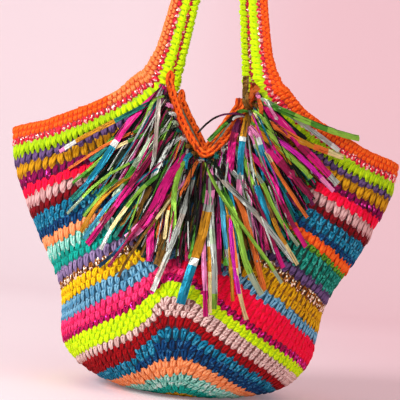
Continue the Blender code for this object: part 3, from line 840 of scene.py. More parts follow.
@dataclass
class WallSurface:
    """The wall's outer surface as a table over shares of a quarter and rounds.

    A turn goes from 0 at the front centre over 1 at the right side, 2 at the back centre
    and 3 at the left side back to 4. Two slow waves make the wall uneven; each has its half
    waves to a turn and its slant to a round.
    """

    form: BagForm
    wave_depth: float = 0.0012
    waves: tuple[tuple[float, float], ...] = ((2.6, 0.31), (0.5, 0.23))
    wavy_from: float = 9.0
    wavy_to: float = 43.0
    wave_fade: float = 6.0
    neck_from_round: float = 30.0
    neck_round_step: float = 0.05

    def __post_init__(self) -> None:
        """Work out the table of points and outward normals."""
        form = self.form
        self.shares = np.linspace(0.0, 1.0, SHARE_STEPS + 1)
        low = form.belly_height * (1.0 - np.cos(np.linspace(0.0, math.pi / 2.0, HEIGHT_STEPS // 4)))
        high = np.linspace(form.belly_height, form.handle_top_height, HEIGHT_STEPS)[1:]
        heights = np.concatenate((low, high))
        columns = np.empty((len(self.shares), len(heights), 3))
        angle = np.linspace(0.0, math.pi / 2.0, QUARTER_SAMPLES)
        widths, depths = form.half_sizes(heights)
        powers = 2.0 / form.pointedness(heights)
        for j, z in enumerate(heights):
            x = widths[j] * np.sin(angle) ** powers[j]
            y = -depths[j] * np.maximum(np.cos(angle), 0.0) ** powers[j]
            length = np.concatenate(([0.0], np.cumsum(np.hypot(np.diff(x), np.diff(y)))))
            columns[:, j, 0] = np.interp(self.shares * length[-1], length, x)
            columns[:, j, 1] = np.interp(self.shares * length[-1], length, y)
            columns[:, j, 2] = z
        self.rounds = np.arange(0.0, TOP_ROUND + ROUND_STEP, ROUND_STEP)
        self.points = np.empty((len(self.shares), len(self.rounds), 3))
        line_end = form.start_line_shortfall / form.base_half_depth
        for i, share in enumerate(self.shares):
            runs = form.run_of_round(self.rounds, np.full(len(self.rounds), share))
            self.points[i] = read_between(runs, run_along(columns[i]), columns[i])
            under = np.clip(runs / runs[0], 0.0, 1.0)
            edge = columns[i, 0]
            below = runs < 0.0
            self.points[i, below, 0] = edge[0] * (1.0 - under[below])
            self.points[i, below, 1] = edge[1] * (1.0 - line_end * under[below])
            self.points[i, below, 2] = 0.0
        around = np.gradient(self.points, axis=0)
        rise = np.gradient(self.points, axis=1)
        around[0] = (1.0, 0.0, 0.0)
        around[-1] = (0.0, 1.0, 0.0)
        self.normals = unit(np.cross(around, rise))
        self.normals[self.points[:, :, 2] <= 1e-9] = (0.0, 0.0, -1.0)

    def _look_up(self, table: Array, share: Array, rounds: Array) -> Array:
        """Read a table between its points.

        Args:
            table: Points or normals.
            share: Shares of a quarter.
            rounds: Even rounds.

        Returns:
            The values there.
        """
        a = np.clip(share, 0.0, 1.0) * SHARE_STEPS
        b = np.clip(rounds, 0.0, TOP_ROUND) / ROUND_STEP
        i = np.minimum(a.astype(int), SHARE_STEPS - 1)
        j = np.minimum(b.astype(int), len(self.rounds) - 2)
        u = (a - i)[..., None]
        v = (b - j)[..., None]
        low = table[i, j] * (1.0 - u) + table[i + 1, j] * u
        high = table[i, j + 1] * (1.0 - u) + table[i + 1, j + 1] * u
        return low * (1.0 - v) + high * v

    def place(self, turn: Array, rounds: Array, out: Array | float = 0.0) -> tuple[Array, Array]:
        """Points and outward normals of the wall.

        Args:
            turn: Turns, from 0 to 4.
            rounds: Rounds, which need not be whole.
            out: Distance outwards from the surface.

        Returns:
            The points and the normals.
        """
        turn, rounds = np.broadcast_arrays(np.mod(turn, 4.0), rounds)
        share = 1.0 - np.abs(np.mod(turn, 2.0) - 1.0)
        right = np.where(turn < 2.0, 1.0, -1.0)
        front = np.where((turn < 1.0) | (turn >= 3.0), 1.0, -1.0)
        sign = np.stack((right, front, np.ones_like(right)), axis=-1)
        points = self._look_up(self.points, share, rounds) * sign
        normals = unit(self._look_up(self.normals, share, rounds) * sign)
        start = np.clip((rounds - self.wavy_from) / self.wave_fade, 0.0, 1.0)
        fade = start * np.clip((self.wavy_to - rounds) / self.wave_fade, 0.0, 1.0)
        first, second = (np.sin(half * math.pi * turn + slant * rounds) for half, slant in self.waves)
        reach = out + self.wave_depth * fade * (first * second)
        return points + normals * np.asarray(reach)[..., None], normals

    def rounds_at_neck(self, turn: Array, face: Face) -> Array:
        """Find where meridians end: at a V where they cross it, else at the rim.

        Args:
            turn: Turns of the meridians.
            face: Face with the V.

        Returns:
            The last round of each.
        """
        last = self.form.wall_rounds
        line = self.form.neck_side(face)
        rounds = np.arange(self.neck_from_round, last + 0.01, self.neck_round_step)
        ends = np.empty(len(turn))
        for i, t in enumerate(turn):
            points, _ = self.place(np.full(len(rounds), t), rounds)
            x = np.abs(points[:, 0])
            limit = np.interp(x, line[:, 0], line[:, 1])
            inside = (x < face.neck_half_width) & (points[:, 2] > limit)
            ends[i] = rounds[int(np.argmax(inside))] if inside.any() else last
        return ends


@dataclass(frozen=True)
class Row:
    """One crocheted round: its upper edge at the left, the centre and the right, and its yarn.

    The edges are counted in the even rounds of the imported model. Where it has a right yarn,
    the first one ends at the jog and the right one goes on from there.
    """

    left_edge: float
    centre_edge: float
    right_edge: float
    yarn: Yarn
    right_yarn: Yarn | None = None
    jog: float = -0.17


# The rounds of the wall, from the start line under the base up to the rim
ROWS = tuple(Row(*values) for values in (
    (1.1, 1.2, 1.1, Yarn.MUSTARD),
    (2.2, 2.4, 2.2, Yarn.MUSTARD),
    (3.2, 3.7, 3.2, Yarn.MUSTARD),
    (4.3, 5.0, 4.3, Yarn.MUSTARD),
    (5.4, 6.1, 5.4, Yarn.TURQUOISE),
    (6.5, 7.3, 6.5, Yarn.TURQUOISE),
    (7.6, 8.3, 7.7, Yarn.MINT),
    (8.7, 9.4, 9.0, Yarn.MINT),
    (9.8, 10.5, 9.9, Yarn.PEACH),
    (10.9, 11.8, 10.8, Yarn.PEACH),
    (11.9, 13.1, 11.7, Yarn.TEAL, Yarn.NAVY, -0.28),
    (12.9, 14.4, 12.6, Yarn.TEAL, Yarn.NAVY, -0.14),
    (13.7, 15.9, 13.8, Yarn.DARK_RED, Yarn.TEAL, -0.25),
    (14.6, 17.2, 15.0, Yarn.DARK_RED),
    (15.5, 17.9, 15.8, Yarn.DARK_RED, Yarn.PALE_PINK, -0.12),
    (16.6, 18.7, 16.4, Yarn.PALE_PINK),
    (17.5, 19.6, 17.0, Yarn.NEON, Yarn.PALE_PINK, -0.18),
    (18.4, 20.5, 17.7, Yarn.NEON),
    (19.25, 21.5, 18.4, Yarn.NEON),
    (20.1, 22.4, 19.4, Yarn.MAGENTA),
    (21.1, 23.3, 20.5, Yarn.HOT_PINK, Yarn.RED, -0.05),
    (22.2, 24.2, 21.6, Yarn.HOT_PINK, Yarn.RED, -0.05),
    (23.4, 25.0, 22.7, Yarn.LIGHT_BLUE, Yarn.RED, -0.05),
    (24.6, 26.0, 24.1, Yarn.LIGHT_BLUE),
    (25.6, 27.0, 25.5, Yarn.YELLOW, Yarn.MUSTARD, 0.0),
    (26.6, 28.0, 26.8, Yarn.YELLOW, Yarn.MUSTARD, 0.0),
    (27.6, 29.0, 28.0, Yarn.COPPER),
    (29.0, 30.2, 29.4, Yarn.LILAC, Yarn.PURPLE, 0.0),
    (30.0, 31.1, 31.0, Yarn.TURQUOISE, Yarn.DEEP_TEAL, 0.0),
    (30.9, 32.1, 32.3, Yarn.TURQUOISE, Yarn.DEEP_TEAL, 0.0),
    (32.5, 33.1, 33.1, Yarn.MINT, Yarn.GREEN, 0.0),
    (33.9, 34.3, 34.4, Yarn.PEACH, Yarn.ORANGE, 0.0),
    (35.2, 35.4, 35.4, Yarn.NAVY),
    (36.2, 36.4, 36.6, Yarn.TEAL),
    (37.4, 37.6, 37.8, Yarn.TEAL),
    (38.7, 38.9, 39.0, Yarn.WINE),
    (40.3, 40.4, 40.7, Yarn.DUSTY_PINK),
    (41.7, 41.9, 42.15, Yarn.RED),
    (43.1, 43.2, 43.4, Yarn.PLUM),
    (44.7, 44.8, 45.0, Yarn.OCHRE),
    (46.0, 46.0, 46.0, Yarn.PURPLE),
))


@dataclass
class RoundTable:
    """The rounds of the wall, with the line between each two of them."""

    rows: tuple[Row, ...] = ROWS
    peak_share: float = 0.32
    front_tip: float = -0.12

    def edge(self, index: int, turn: Array) -> Array:
        """Read the upper edge of a row.

        Args:
            index: Number of the row, or -1 for the start line.
            turn: Turns.

        Returns:
            Even round at each turn.
        """
        turn = np.mod(turn, 4.0)
        if index < 0:
            return np.zeros_like(turn)
        row = self.rows[index]
        place = np.where(turn < 2.0, turn, turn - 4.0)
        front = np.abs(place) <= 1.0
        aside = np.where(front, place - self.front_tip, (2.0 - np.abs(place)) * np.sign(place))
        reach = self.peak_share - np.where(front, np.sign(aside) * self.front_tip, 0.0)
        side = np.where(aside > 0.0, row.right_edge, row.left_edge)
        near = np.clip(np.abs(aside) / reach, 0.0, 1.0)
        return row.centre_edge + (side - row.centre_edge) * (near * (2.0 - near))

    def middle(self, index: int, turn: Array) -> Array:
        """Even round halfway up a row, at each turn."""
        return 0.5 * (self.edge(index - 1, turn) + self.edge(index, turn))

    def yarns(self, index: int, turn: Array) -> list[Yarn]:
        """Read the yarns of a row.

        Args:
            index: Number of the row.
            turn: Turns.

        Returns:
            The yarn at each turn.
        """
        row = self.rows[index]
        turn = np.mod(turn, 4.0)
        left = np.where(turn < 2.0, turn, turn - 4.0) < row.jog
        return [row.yarn if is_left else row.right_yarn or row.yarn for is_left in left]


class Stitch(NamedTuple):
    """One stitch: its middle, its ways up the fabric and outwards, and its width, height and swell."""

    place: Array
    rise: Array
    facing: Array
    size: Three


@dataclass
class StitchMaker:
    """Turns lists of stitches into pieces with one Geometry Nodes tree."""

    seed: int = 11
    turn_jitter: float = 0.09
    size_jitter: float = 0.06
    tone_spread: float = 0.5
    pressed_below: float = 0.0008
    least_height: float = 0.0002
    pressed_range: float = 0.0006

    def __post_init__(self) -> None:
        """Make the template stitches, the tree and the random draws."""
        self.shapes = {style: style.value.build("stitch_" + style.label) for style in StitchStyle}
        self.random = np.random.default_rng(self.seed)
        self.tree = self._make_tree()

    def _make_tree(self) -> NodeTree:
        """Build the tree that sets a stitch on each point and makes them one mesh.

        Returns:
            The tree.
        """
        tree = bpy.data.node_groups.new("stitches_on_points", "GeometryNodeTree")
        sockets = tree.interface
        sockets.new_socket("Geometry", in_out="INPUT", socket_type="NodeSocketGeometry")
        stitch = sockets.new_socket("Stitch", in_out="INPUT", socket_type="NodeSocketObject")
        yarn = sockets.new_socket("Yarn", in_out="INPUT", socket_type="NodeSocketMaterial")
        sockets.new_socket("Geometry", in_out="OUTPUT", socket_type="NodeSocketGeometry")
        self.stitch_input, self.yarn_input = stitch.identifier, yarn.identifier
        source = add_node(tree, "NodeGroupInput", {})
        shape = add_node(tree, "GeometryNodeObjectInfo", {"Object": source.outputs["Stitch"]})
        facing, rise, size = (
            add_node(tree, "GeometryNodeInputNamedAttribute", {"Name": name}, data_type="FLOAT_VECTOR")
            for name in ("facing", "rise", "size")
        )
        axes = {"primary_axis": "Z", "secondary_axis": "Y"}
        turned = add_node(tree, "FunctionNodeAxesToRotation", {0: facing, 1: rise}, **axes)
        setting = {"Points": source, "Instance": shape.outputs["Geometry"], "Rotation": turned, "Scale": size}
        placed = add_node(tree, "GeometryNodeInstanceOnPoints", setting)
        real = add_node(tree, "GeometryNodeRealizeInstances", {"Geometry": placed})
        dressing = {"Geometry": real, "Material": source.outputs["Yarn"]}
        dressed = add_node(tree, "GeometryNodeSetMaterial", dressing)
        add_node(tree, "NodeGroupOutput", {"Geometry": dressed})
        return tree

    def make(self, name: str, run: list[Stitch], style: StitchStyle, yarn: Material) -> Object:
        """Make one piece of stitches.

        Args:
            name: Name of the piece.
            run: Its stitches, in the order in which they are worked.
            style: Their shape.
            yarn: Their material.

        Returns:
            The piece, as a plain mesh.
        """
        count = len(run)
        places, rises, facings, sizes = zip(*run)
        points = bpy.data.meshes.new(name + "_points")
        points.from_pydata([tuple(p) for p in places], [], [])
        draw = self.random.normal
        vectors = {
            "facing": unit(np.array(facings) + draw(0.0, self.turn_jitter, (count, 3))),
            "rise": unit(np.array(rises) + draw(0.0, self.turn_jitter, (count, 3))),
            "size": np.array(sizes) * (1.0 + draw(0.0, self.size_jitter, (count, 1))),
        }
        for label, values in vectors.items():
            points.attributes.new(label, "FLOAT_VECTOR", "POINT").data.foreach_set("vector", values.ravel())
        tone = points.attributes.new("tone", "FLOAT", "POINT")
        tone.data.foreach_set("value", draw(0.0, self.tone_spread, count))
        source = show(name + "_source", points)
        modifier = source.modifiers.new("stitches", "NODES")
        modifier.node_group = self.tree
        modifier[self.stitch_input] = self.shapes[style]
        modifier[self.yarn_input] = yarn
        evaluated = source.evaluated_get(bpy.context.evaluated_depsgraph_get())
        data = bpy.data.meshes.new_from_object(evaluated)
        data.name = name
        bpy.data.objects.remove(source)
        for label in vectors:
            if label in data.attributes:
                data.attributes.remove(data.attributes[label])
        self._keep_above_floor(data)
        return show(name, data)

    def _keep_above_floor(self, data: Mesh) -> None:
        """Press the yarn under the base flat, so that none reaches below the floor.

        Args:
            data: Mesh of the piece.
        """
        places = np.empty(len(data.vertices) * 3)
        data.vertices.foreach_get("co", places)
        height = places[2::3]
        low = height < self.pressed_below
        pressed = np.exp((height[low] - self.pressed_below) / self.pressed_below)
        height[low] = self.least_height + self.pressed_range * pressed
        data.vertices.foreach_set("co", places)
        data.update()


@dataclass
class Workshop:
    """What the sub-assemblies share: the form, its surface, the rounds and the finishes."""

    form: BagForm
    surface: WallSurface
    rounds: RoundTable
    stitches: StitchMaker

    def __post_init__(self) -> None:
        """Make the materials of all yarns and foils."""
        self.yarns = {yarn: yarn.value.material(yarn.label + "_acrylic_yarn") for yarn in Yarn}
        # Each yarn's cloth is its colour darkened as painted shade, for the shade between the stitches
        self.cloths = {yarn: yarn.value.cloth(yarn.label + "_yarn_in_shade") for yarn in Yarn}
        self.foils = {}
        for foil in Foil:
            self.foils[foil.value.letter] = foil.value.material(foil.label + "_metallised_film")


@dataclass
class CrochetWall:
    """The striped wall and base: a cloth shell and a row of stitches for each round."""

    shop: Workshop
    columns: int = 260
    lines_per_row: int = 2
    inner_line_every: int = 4
    shell_depth: float = 0.0013
    wall_thickness: float = 0.0050
    seam: float = 0.00004
    fine_turns: int = 1600
    stitch_width: float = 0.0066
    stitch_widening: float = 0.0021
    widest_row: int = 38
    plump_from: int = 38
    stitch_depth: float = 0.0013
    overlap: float = 1.18
    row_shift: float = 0.37
    look_ahead: float = 0.004
    clear_of_end: float = 0.35
    least_tall: float = 0.002

    def ends(self, turn: Array) -> Array:
        """Find where the wall ends, at a V or at the rim.

        Args:
            turn: Turns.

        Returns:
            Its last round at each turn.
        """
        near_front = (turn < 0.5) | (turn > 3.5)
        near_back = (turn > 1.5) & (turn < 2.5)
        ends = np.full(len(turn), self.shop.form.wall_rounds)
        surface = self.shop.surface
        ends[near_front] = surface.rounds_at_neck(turn[near_front], FRONT)
        ends[near_back] = surface.rounds_at_neck(turn[near_back], BACK)
        return ends

    def shell(self) -> Object:
        """Make the closed shell under the stitches, in darker colours of the yarns: painted shade.

        Returns:
            The shell.
        """
        shop = self.shop
        count = self.columns
        turn = np.arange(count) * 4.0 / count
        ends = self.ends(turn)
        lines = [np.zeros(count)]
        row_of_line = []
        for index in range(len(shop.rounds.rows)):
            low = shop.rounds.edge(index - 1, turn)
            high = shop.rounds.edge(index, turn)
            for step in range(1, self.lines_per_row + 1):
                lines.append(low + (high - low) * step / self.lines_per_row)
                row_of_line.append(index)
        inner = [*lines[::-self.inner_line_every], lines[0]]
        rings = [
            shop.surface.place(turn, np.minimum(line, ends), -depth)[0]
            for group, depth in ((lines, self.shell_depth), (inner, self.wall_thickness))
            for line in group
        ]
        rings[0][:, 2] = np.maximum(rings[0][:, 2], self.shell_depth)
        row_of_line += row_of_line[-1:] * (len(rings) - 1 - len(row_of_line))
        names = list(Yarn)
        slots = [
            names.index(yarn)
            for row in row_of_line
            for yarn in shop.rounds.yarns(row, turn + 2.0 / count)
        ]
        caps = cap_ring(0, count) + cap_ring((len(rings) - 1) * count, count)
        faces = patches(len(rings), count) + caps
        slots += [names.index(Yarn.MUSTARD)] * len(caps)
        # The shell's colours are painted shade, seen between the stitches
        shell = mesh_piece("wall_cloth", np.concatenate(rings), faces, list(shop.cloths.values()), slots)
        close_seams(shell, self.seam)
        return shell

    def stitches(self) -> list[Object]:
        """Make the stitches of the wall.

        Returns:
            One piece for each yarn and shape.
        """
        rounds, surface = self.shop.rounds, self.shop.surface
        runs: dict[tuple[Yarn, StitchStyle], list[Stitch]] = {}
        fine = np.linspace(0.0, 4.0, self.fine_turns + 1)
        ends = self.ends(fine)
        for index in range(len(rounds.rows)):
            lengths = run_along(surface.place(fine, rounds.middle(index, fine))[0])
            wide = self.stitch_width + self.stitch_widening * min(1.0, index / self.widest_row)
            count = int(round(lengths[-1] / wide))
            spacing = lengths[-1] / count
            turn = np.interp((np.arange(count) + self.row_shift * index % 1.0) * spacing, lengths, fine)
            middle = rounds.middle(index, turn)
            place, normal = surface.place(turn, middle, -self.stitch_depth)
            ahead, behind = (
                surface.place(turn + way, rounds.middle(index, turn + way))[0]
                for way in (self.look_ahead, -self.look_ahead)
            )
            rise = unit(np.cross(normal, unit(ahead - behind)))
            top, _ = surface.place(turn, rounds.edge(index, turn))
            bottom, _ = surface.place(turn, rounds.edge(index - 1, turn))
            tall = np.abs(np.sum((top - bottom) * rise, axis=1))
            shown = (middle <= np.interp(turn, fine, ends) - self.clear_of_end) & (tall >= self.least_tall)
            for i, yarn in enumerate(rounds.yarns(index, turn)):
                if shown[i]:
                    size = (spacing, tall[i] * self.overlap, yarn.value.swell)
                    style = StitchStyle.PLUMP if index >= self.plump_from else yarn.value.style
                    runs.setdefault((yarn, style), []).append(Stitch(place[i], rise[i], normal[i], size))
        return [
            self.shop.stitches.make(f"stitches_{yarn.label}_{style.label}", run, style, self.shop.yarns[yarn])
            for (yarn, style), run in runs.items()
        ]


@dataclass
class BandPath:
    """Cross-sections of the band, round the whole loop of rims and handles."""

    edge: Array
    across: Array
    facing: Array
    width: Array

    def lengths(self) -> Array:
        """Run along the middle of the band up to each cross-section, and the full length last."""
        middle = self.edge + 0.5 * self.across * self.width[:, None]
        return run_along(np.vstack((middle, middle[:1])))

    def at(self, runs: Array) -> tuple[Array, Array, Array, Array]:
        """Read the cross-sections at runs along the band.

        Args:
            runs: Runs from the middle of the front handle's top.

        Returns:
            Inner edge, way across, way it faces and width.
        """
        lengths = self.lengths()
        runs = np.mod(runs, lengths[-1])
        index = np.minimum(np.searchsorted(lengths, runs, side="right") - 1, len(self.width) - 1)
        after = (index + 1) % len(self.width)
        share = ((runs - lengths[index]) / (lengths[index + 1] - lengths[index]))[:, None]
        edge, across, facing, width = (
            table[index] * (1.0 - share) + table[after] * share
            for table in (self.edge, self.across, self.facing, self.width[:, None])
        )
        return edge, unit(across), unit(facing), width[:, 0]


@dataclass(frozen=True)
class BandRow:
    """One row of the band: its share of the width from the inner edge out, and its yarns; on the rims the
    neon row takes the lime yarn, a painted shade of the neon.
    """

    low: float
    high: float
    yarn: Yarn
    rim_yarn: Yarn
    stitch_width: float


BAND_ROWS = (
    BandRow(0.0, 0.38, Yarn.NEON, Yarn.LIME, 0.0060),
    BandRow(0.38, 0.62, Yarn.RED_GLITTER, Yarn.RED_GLITTER, 0.0062),
    BandRow(0.62, 0.81, Yarn.ORANGE, Yarn.ORANGE, 0.0056),
    BandRow(0.81, 1.0, Yarn.ORANGE, Yarn.ORANGE, 0.0056),
)


@dataclass
class RimAndHandles:
    """The last rounds, which run along both side rims and over both handles as one band."""

    shop: Workshop
    trim_radius: float = 0.0046
    wall_thickness: float = 0.0050
    rim_width: float = 0.031
    root_width: float = 0.021
    root_gusset: float = 0.009
    gusset_reach: float = 0.045
    strap_width: float = 0.017
    flare_start: float = 0.45
    rim_steps: int = 80
    crown_steps: int = 14
    strap_steps: int = 48
    section_step: float = 0.004
    easing: float = 0.009
    edge_easing: float = 0.3
    core_half: float = 0.0022
    core_swell: float = 0.0004
    core_inset: float = 0.0015
    core_edge: float = 0.6
    seam: float = 0.00002
    stitch_depth: float = 0.0017
    stitch_swell: float = 0.0050
    row_shift: float = 0.41
    overlap: float = 1.22
    rim_start: float = 0.090
    pale_from: float = -0.100
    chain_pitch: float = 0.0052
    chain_width: float = 0.0056
    chain_overlap: float = 1.5
    chain_swell: float = 0.0042
    chain_sunk: float = 0.0012
    look_ahead: float = 0.002
    inner_chain_from: float = 0.006
    inner_chain_reach: float = 0.06
    inner_chain_sunk: float = 0.0006
    inner_chain_width: float = 1.25

    def _rim(self, direction: float) -> tuple[Array, Array, Array]:
        """Follow the wall's last round, from its middle out to the side.

        Args:
            direction: Direction of the face, -1 for the front.

        Returns:
            Inner edge, way it faces and width.
        """
        share = np.linspace(0.0, 1.0, self.rim_steps + 1)
        turn = share if direction < 0.0 else 2.0 - share
        rounds = np.full(len(share), self.shop.form.wall_rounds)
        edge, facing = self.shop.surface.place(turn, rounds, -0.5 * self.wall_thickness)
        return edge, facing, self.root_width + (self.rim_width - self.root_width) * share

    def _half_side(self, face: Face) -> tuple[Array, Array, Array]:
        """Follow the band from the middle of a handle's top to the side of the rim.

        Args:
            face: Face of the bag.

        Returns:
            Inner edge, way it faces and width.
        """
        edge, facing, width = self._rim(face.direction)
        root_x = face.neck_half_width + self.trim_radius
        first = int(np.searchsorted(edge[:, 0], root_x))
        share = (root_x - edge[first - 1, 0]) / (edge[first, 0] - edge[first - 1, 0])
        root = edge[first - 1] + (edge[first] - edge[first - 1]) * share
        ahead = np.array((0.0, face.direction, 0.0))
        root_facing = unit(0.5 * facing[first] + 0.5 * ahead)
        radius = 0.5 * face.handle_top_gap
        crown = self.shop.form.handle_top_height - self.strap_width
        spring = crown - radius
        angle = 0.5 * math.pi * np.arange(self.crown_steps) / self.crown_steps
        down = np.arange(self.strap_steps) / self.strap_steps
        x = np.concatenate((radius * np.sin(angle), radius + (root[0] - radius) * down ** face.strap_flare))
        z = np.concatenate((spring + radius * np.cos(angle), spring + (root[2] - spring) * down))
        y = root[1] - face.direction * face.handle_lean * (z - root[2]) / (crown - root[2])
        widen = np.maximum(0.0, (down - self.flare_start) / (1.0 - self.flare_start)) ** 2
        strap = self.strap_width + (self.root_width - self.strap_width) * widen
        handle = np.stack((x, y, z), axis=1)
        edges = np.vstack((handle, root[None], edge[first:]))
        facings = np.vstack((np.tile(ahead, (len(handle), 1)), root_facing[None], facing[first:]))
        crown_widths = np.full(len(angle), self.strap_width)
        widths = np.concatenate((crown_widths, strap, [self.root_width], width[first:]))
        near = np.clip(1.0 - np.linalg.norm(edges - root, axis=1) / self.gusset_reach, 0.0, 1.0)
        return edges, facings, widths + self.root_gusset * near * near * (3.0 - 2.0 * near)

    def path(self) -> BandPath:
        """Follow the band round the whole loop.

        Returns:
            Its cross-sections, evenly spaced.
        """
        halves = zip(self._half_side(FRONT), self._half_side(BACK))
        edge, facing, width = (np.concatenate((front, back[-2::-1])) for front, back in halves)
        flip = np.array((-1.0, 1.0, 1.0))
        edge = np.vstack((edge, (edge * flip)[-2:0:-1], edge[:1]))
        facing = np.vstack((facing, (facing * flip)[-2:0:-1], facing[:1]))
        width = np.concatenate((width, width[-2:0:-1], width[:1]))
        lengths = run_along(edge)
        count = 2 * int(round(0.5 * lengths[-1] / self.section_step))
        runs = np.arange(count) * lengths[-1] / count
        width = np.interp(runs, lengths, width)
        spacing = lengths[-1] / count
        reach = self.easing / spacing
        edge = smooth_loop(read_between(runs, lengths, edge), self.edge_easing * self.easing / spacing)
        facing = unit(smooth_loop(unit(read_between(runs, lengths, facing)), reach))
        along = unit(np.roll(edge, -1, axis=0) - np.roll(edge, 1, axis=0))
        facing = unit(facing - np.sum(facing * along, axis=1)[:, None] * along)
        across = smooth_loop(edge + width[:, None] * np.cross(facing, along), reach) - edge
        return BandPath(edge, unit(across), facing, np.linalg.norm(across, axis=1))

    def core(self, path: BandPath) -> Object:
        """Make the closed flat core of the band, in darker colours of the yarns: painted shade.

        Args:
            path: Path of the band.

        Returns:
            The core.
        """
        half = self.core_half
        front = []
        for row in BAND_ROWS:
            front.append((row.low, half, row.yarn))
            front.append((0.5 * (row.low + row.high), half + self.core_swell, row.yarn))
        front.append((1.0, self.core_edge * half, BAND_ROWS[-1].yarn))
        profile = front + [(across, -out, yarn) for across, out, yarn in reversed(front)]
        points = []
        for across, out, _ in profile:
            inset = self.core_inset + (path.width - 2.0 * self.core_inset) * across
            points.append(path.edge + path.across * inset[:, None] + path.facing * out)
        count = len(path.width)
        names = list(Yarn)
        slots = [names.index(yarn) for _, _, yarn in profile for _ in range(count)]
        faces = patches(len(profile), count, closed=(True, True), flip=True)
        core = mesh_piece("band_core", np.concatenate(points), faces, list(self.shop.cloths.values()), slots)
        close_seams(core, self.seam)
        return core

    def stitches(self, path: BandPath) -> list[Object]:
        """Make the rows of stitches on both faces and the chains of the edges.

        Args:
            path: Path of the band.

        Returns:
            One piece for each yarn.
        """
        yarns = [yarn for row in BAND_ROWS for yarn in (row.yarn, row.rim_yarn)] + [Yarn.PALE_ORANGE]
        runs: dict[Yarn, list[Stitch]] = {yarn: [] for yarn in yarns}
        total = path.lengths()[-1]
        for number, row in enumerate(BAND_ROWS):
            count = int(round(total / row.stitch_width))
            spacing = total / count
            along = (np.arange(count) + self.row_shift * number % 1.0) * spacing
            for side in (1.0, -1.0):
                edge, across, facing, width = path.at(along + (0.5 * spacing if side < 0.0 else 0.0))
                middle = 0.5 * (row.low + row.high)
                place = edge + across * (width * middle)[:, None] + facing * (side * self.stitch_depth)
                tall = width * (row.high - row.low) * self.overlap
                for i in range(count):
                    # On the rims the neon row takes the darker lime: painted shade
                    yarn = row.rim_yarn if abs(place[i, 0]) > self.rim_start else row.yarn
                    # The front's left strap takes a paler orange: painted light
                    if yarn is Yarn.ORANGE and self._is_pale(place[i]):
                        yarn = Yarn.PALE_ORANGE
                    size = (spacing, tall[i], self.stitch_swell)
                    runs[yarn].append(Stitch(place[i], across[i], facing[i] * side, size))
        self._edge_chains(path, runs)
        shop = self.shop
        return [
            shop.stitches.make("band_" + yarn.label, run, StitchStyle.PLUMP, shop.yarns[yarn])
            for yarn, run in runs.items()
        ]

    def _edge_chains(self, path: BandPath, runs: dict[Yarn, list[Stitch]]) -> None:
        """Add the chain along the outer edge and the inner edge of the handles.

        Args:
            path: Path of the band.
            runs: Stitches of each yarn.
        """
        total = path.lengths()[-1]
        count = int(round(total / self.chain_pitch))
        spacing = total / count
        along = np.arange(count) * spacing
        edge, across, facing, width = path.at(along)
        ahead, *_ = path.at(along + self.look_ahead)
        way = unit(ahead - edge)
        outer = edge + across * (width - self.chain_sunk)[:, None]
        root = self.shop.form.handle_root_height + self.inner_chain_from
        size = (self.chain_width, spacing * self.chain_overlap, self.chain_swell)
        inner_size = (self.chain_width * self.inner_chain_width, *size[1:])
        for i in range(count):
            # The chain on the front's left strap also takes the paler orange of painted light
            yarn = Yarn.PALE_ORANGE if self._is_pale(outer[i]) else Yarn.ORANGE
            runs[yarn].append(Stitch(outer[i], way[i], across[i], size))
            if edge[i, 2] > root and abs(edge[i, 0]) < self.inner_chain_reach:
                inner = edge[i] + across[i] * self.inner_chain_sunk
                runs[Yarn.NEON].append(Stitch(inner, way[i], -across[i], inner_size))

    def _is_pale(self, place: Array) -> bool:
        """Tell whether a place lies on the front's left strap, which gets a paler orange as painted light
        from the left.
        """
        return bool(self.pale_from < place[0] < 0.0 and place[1] < 0.0)


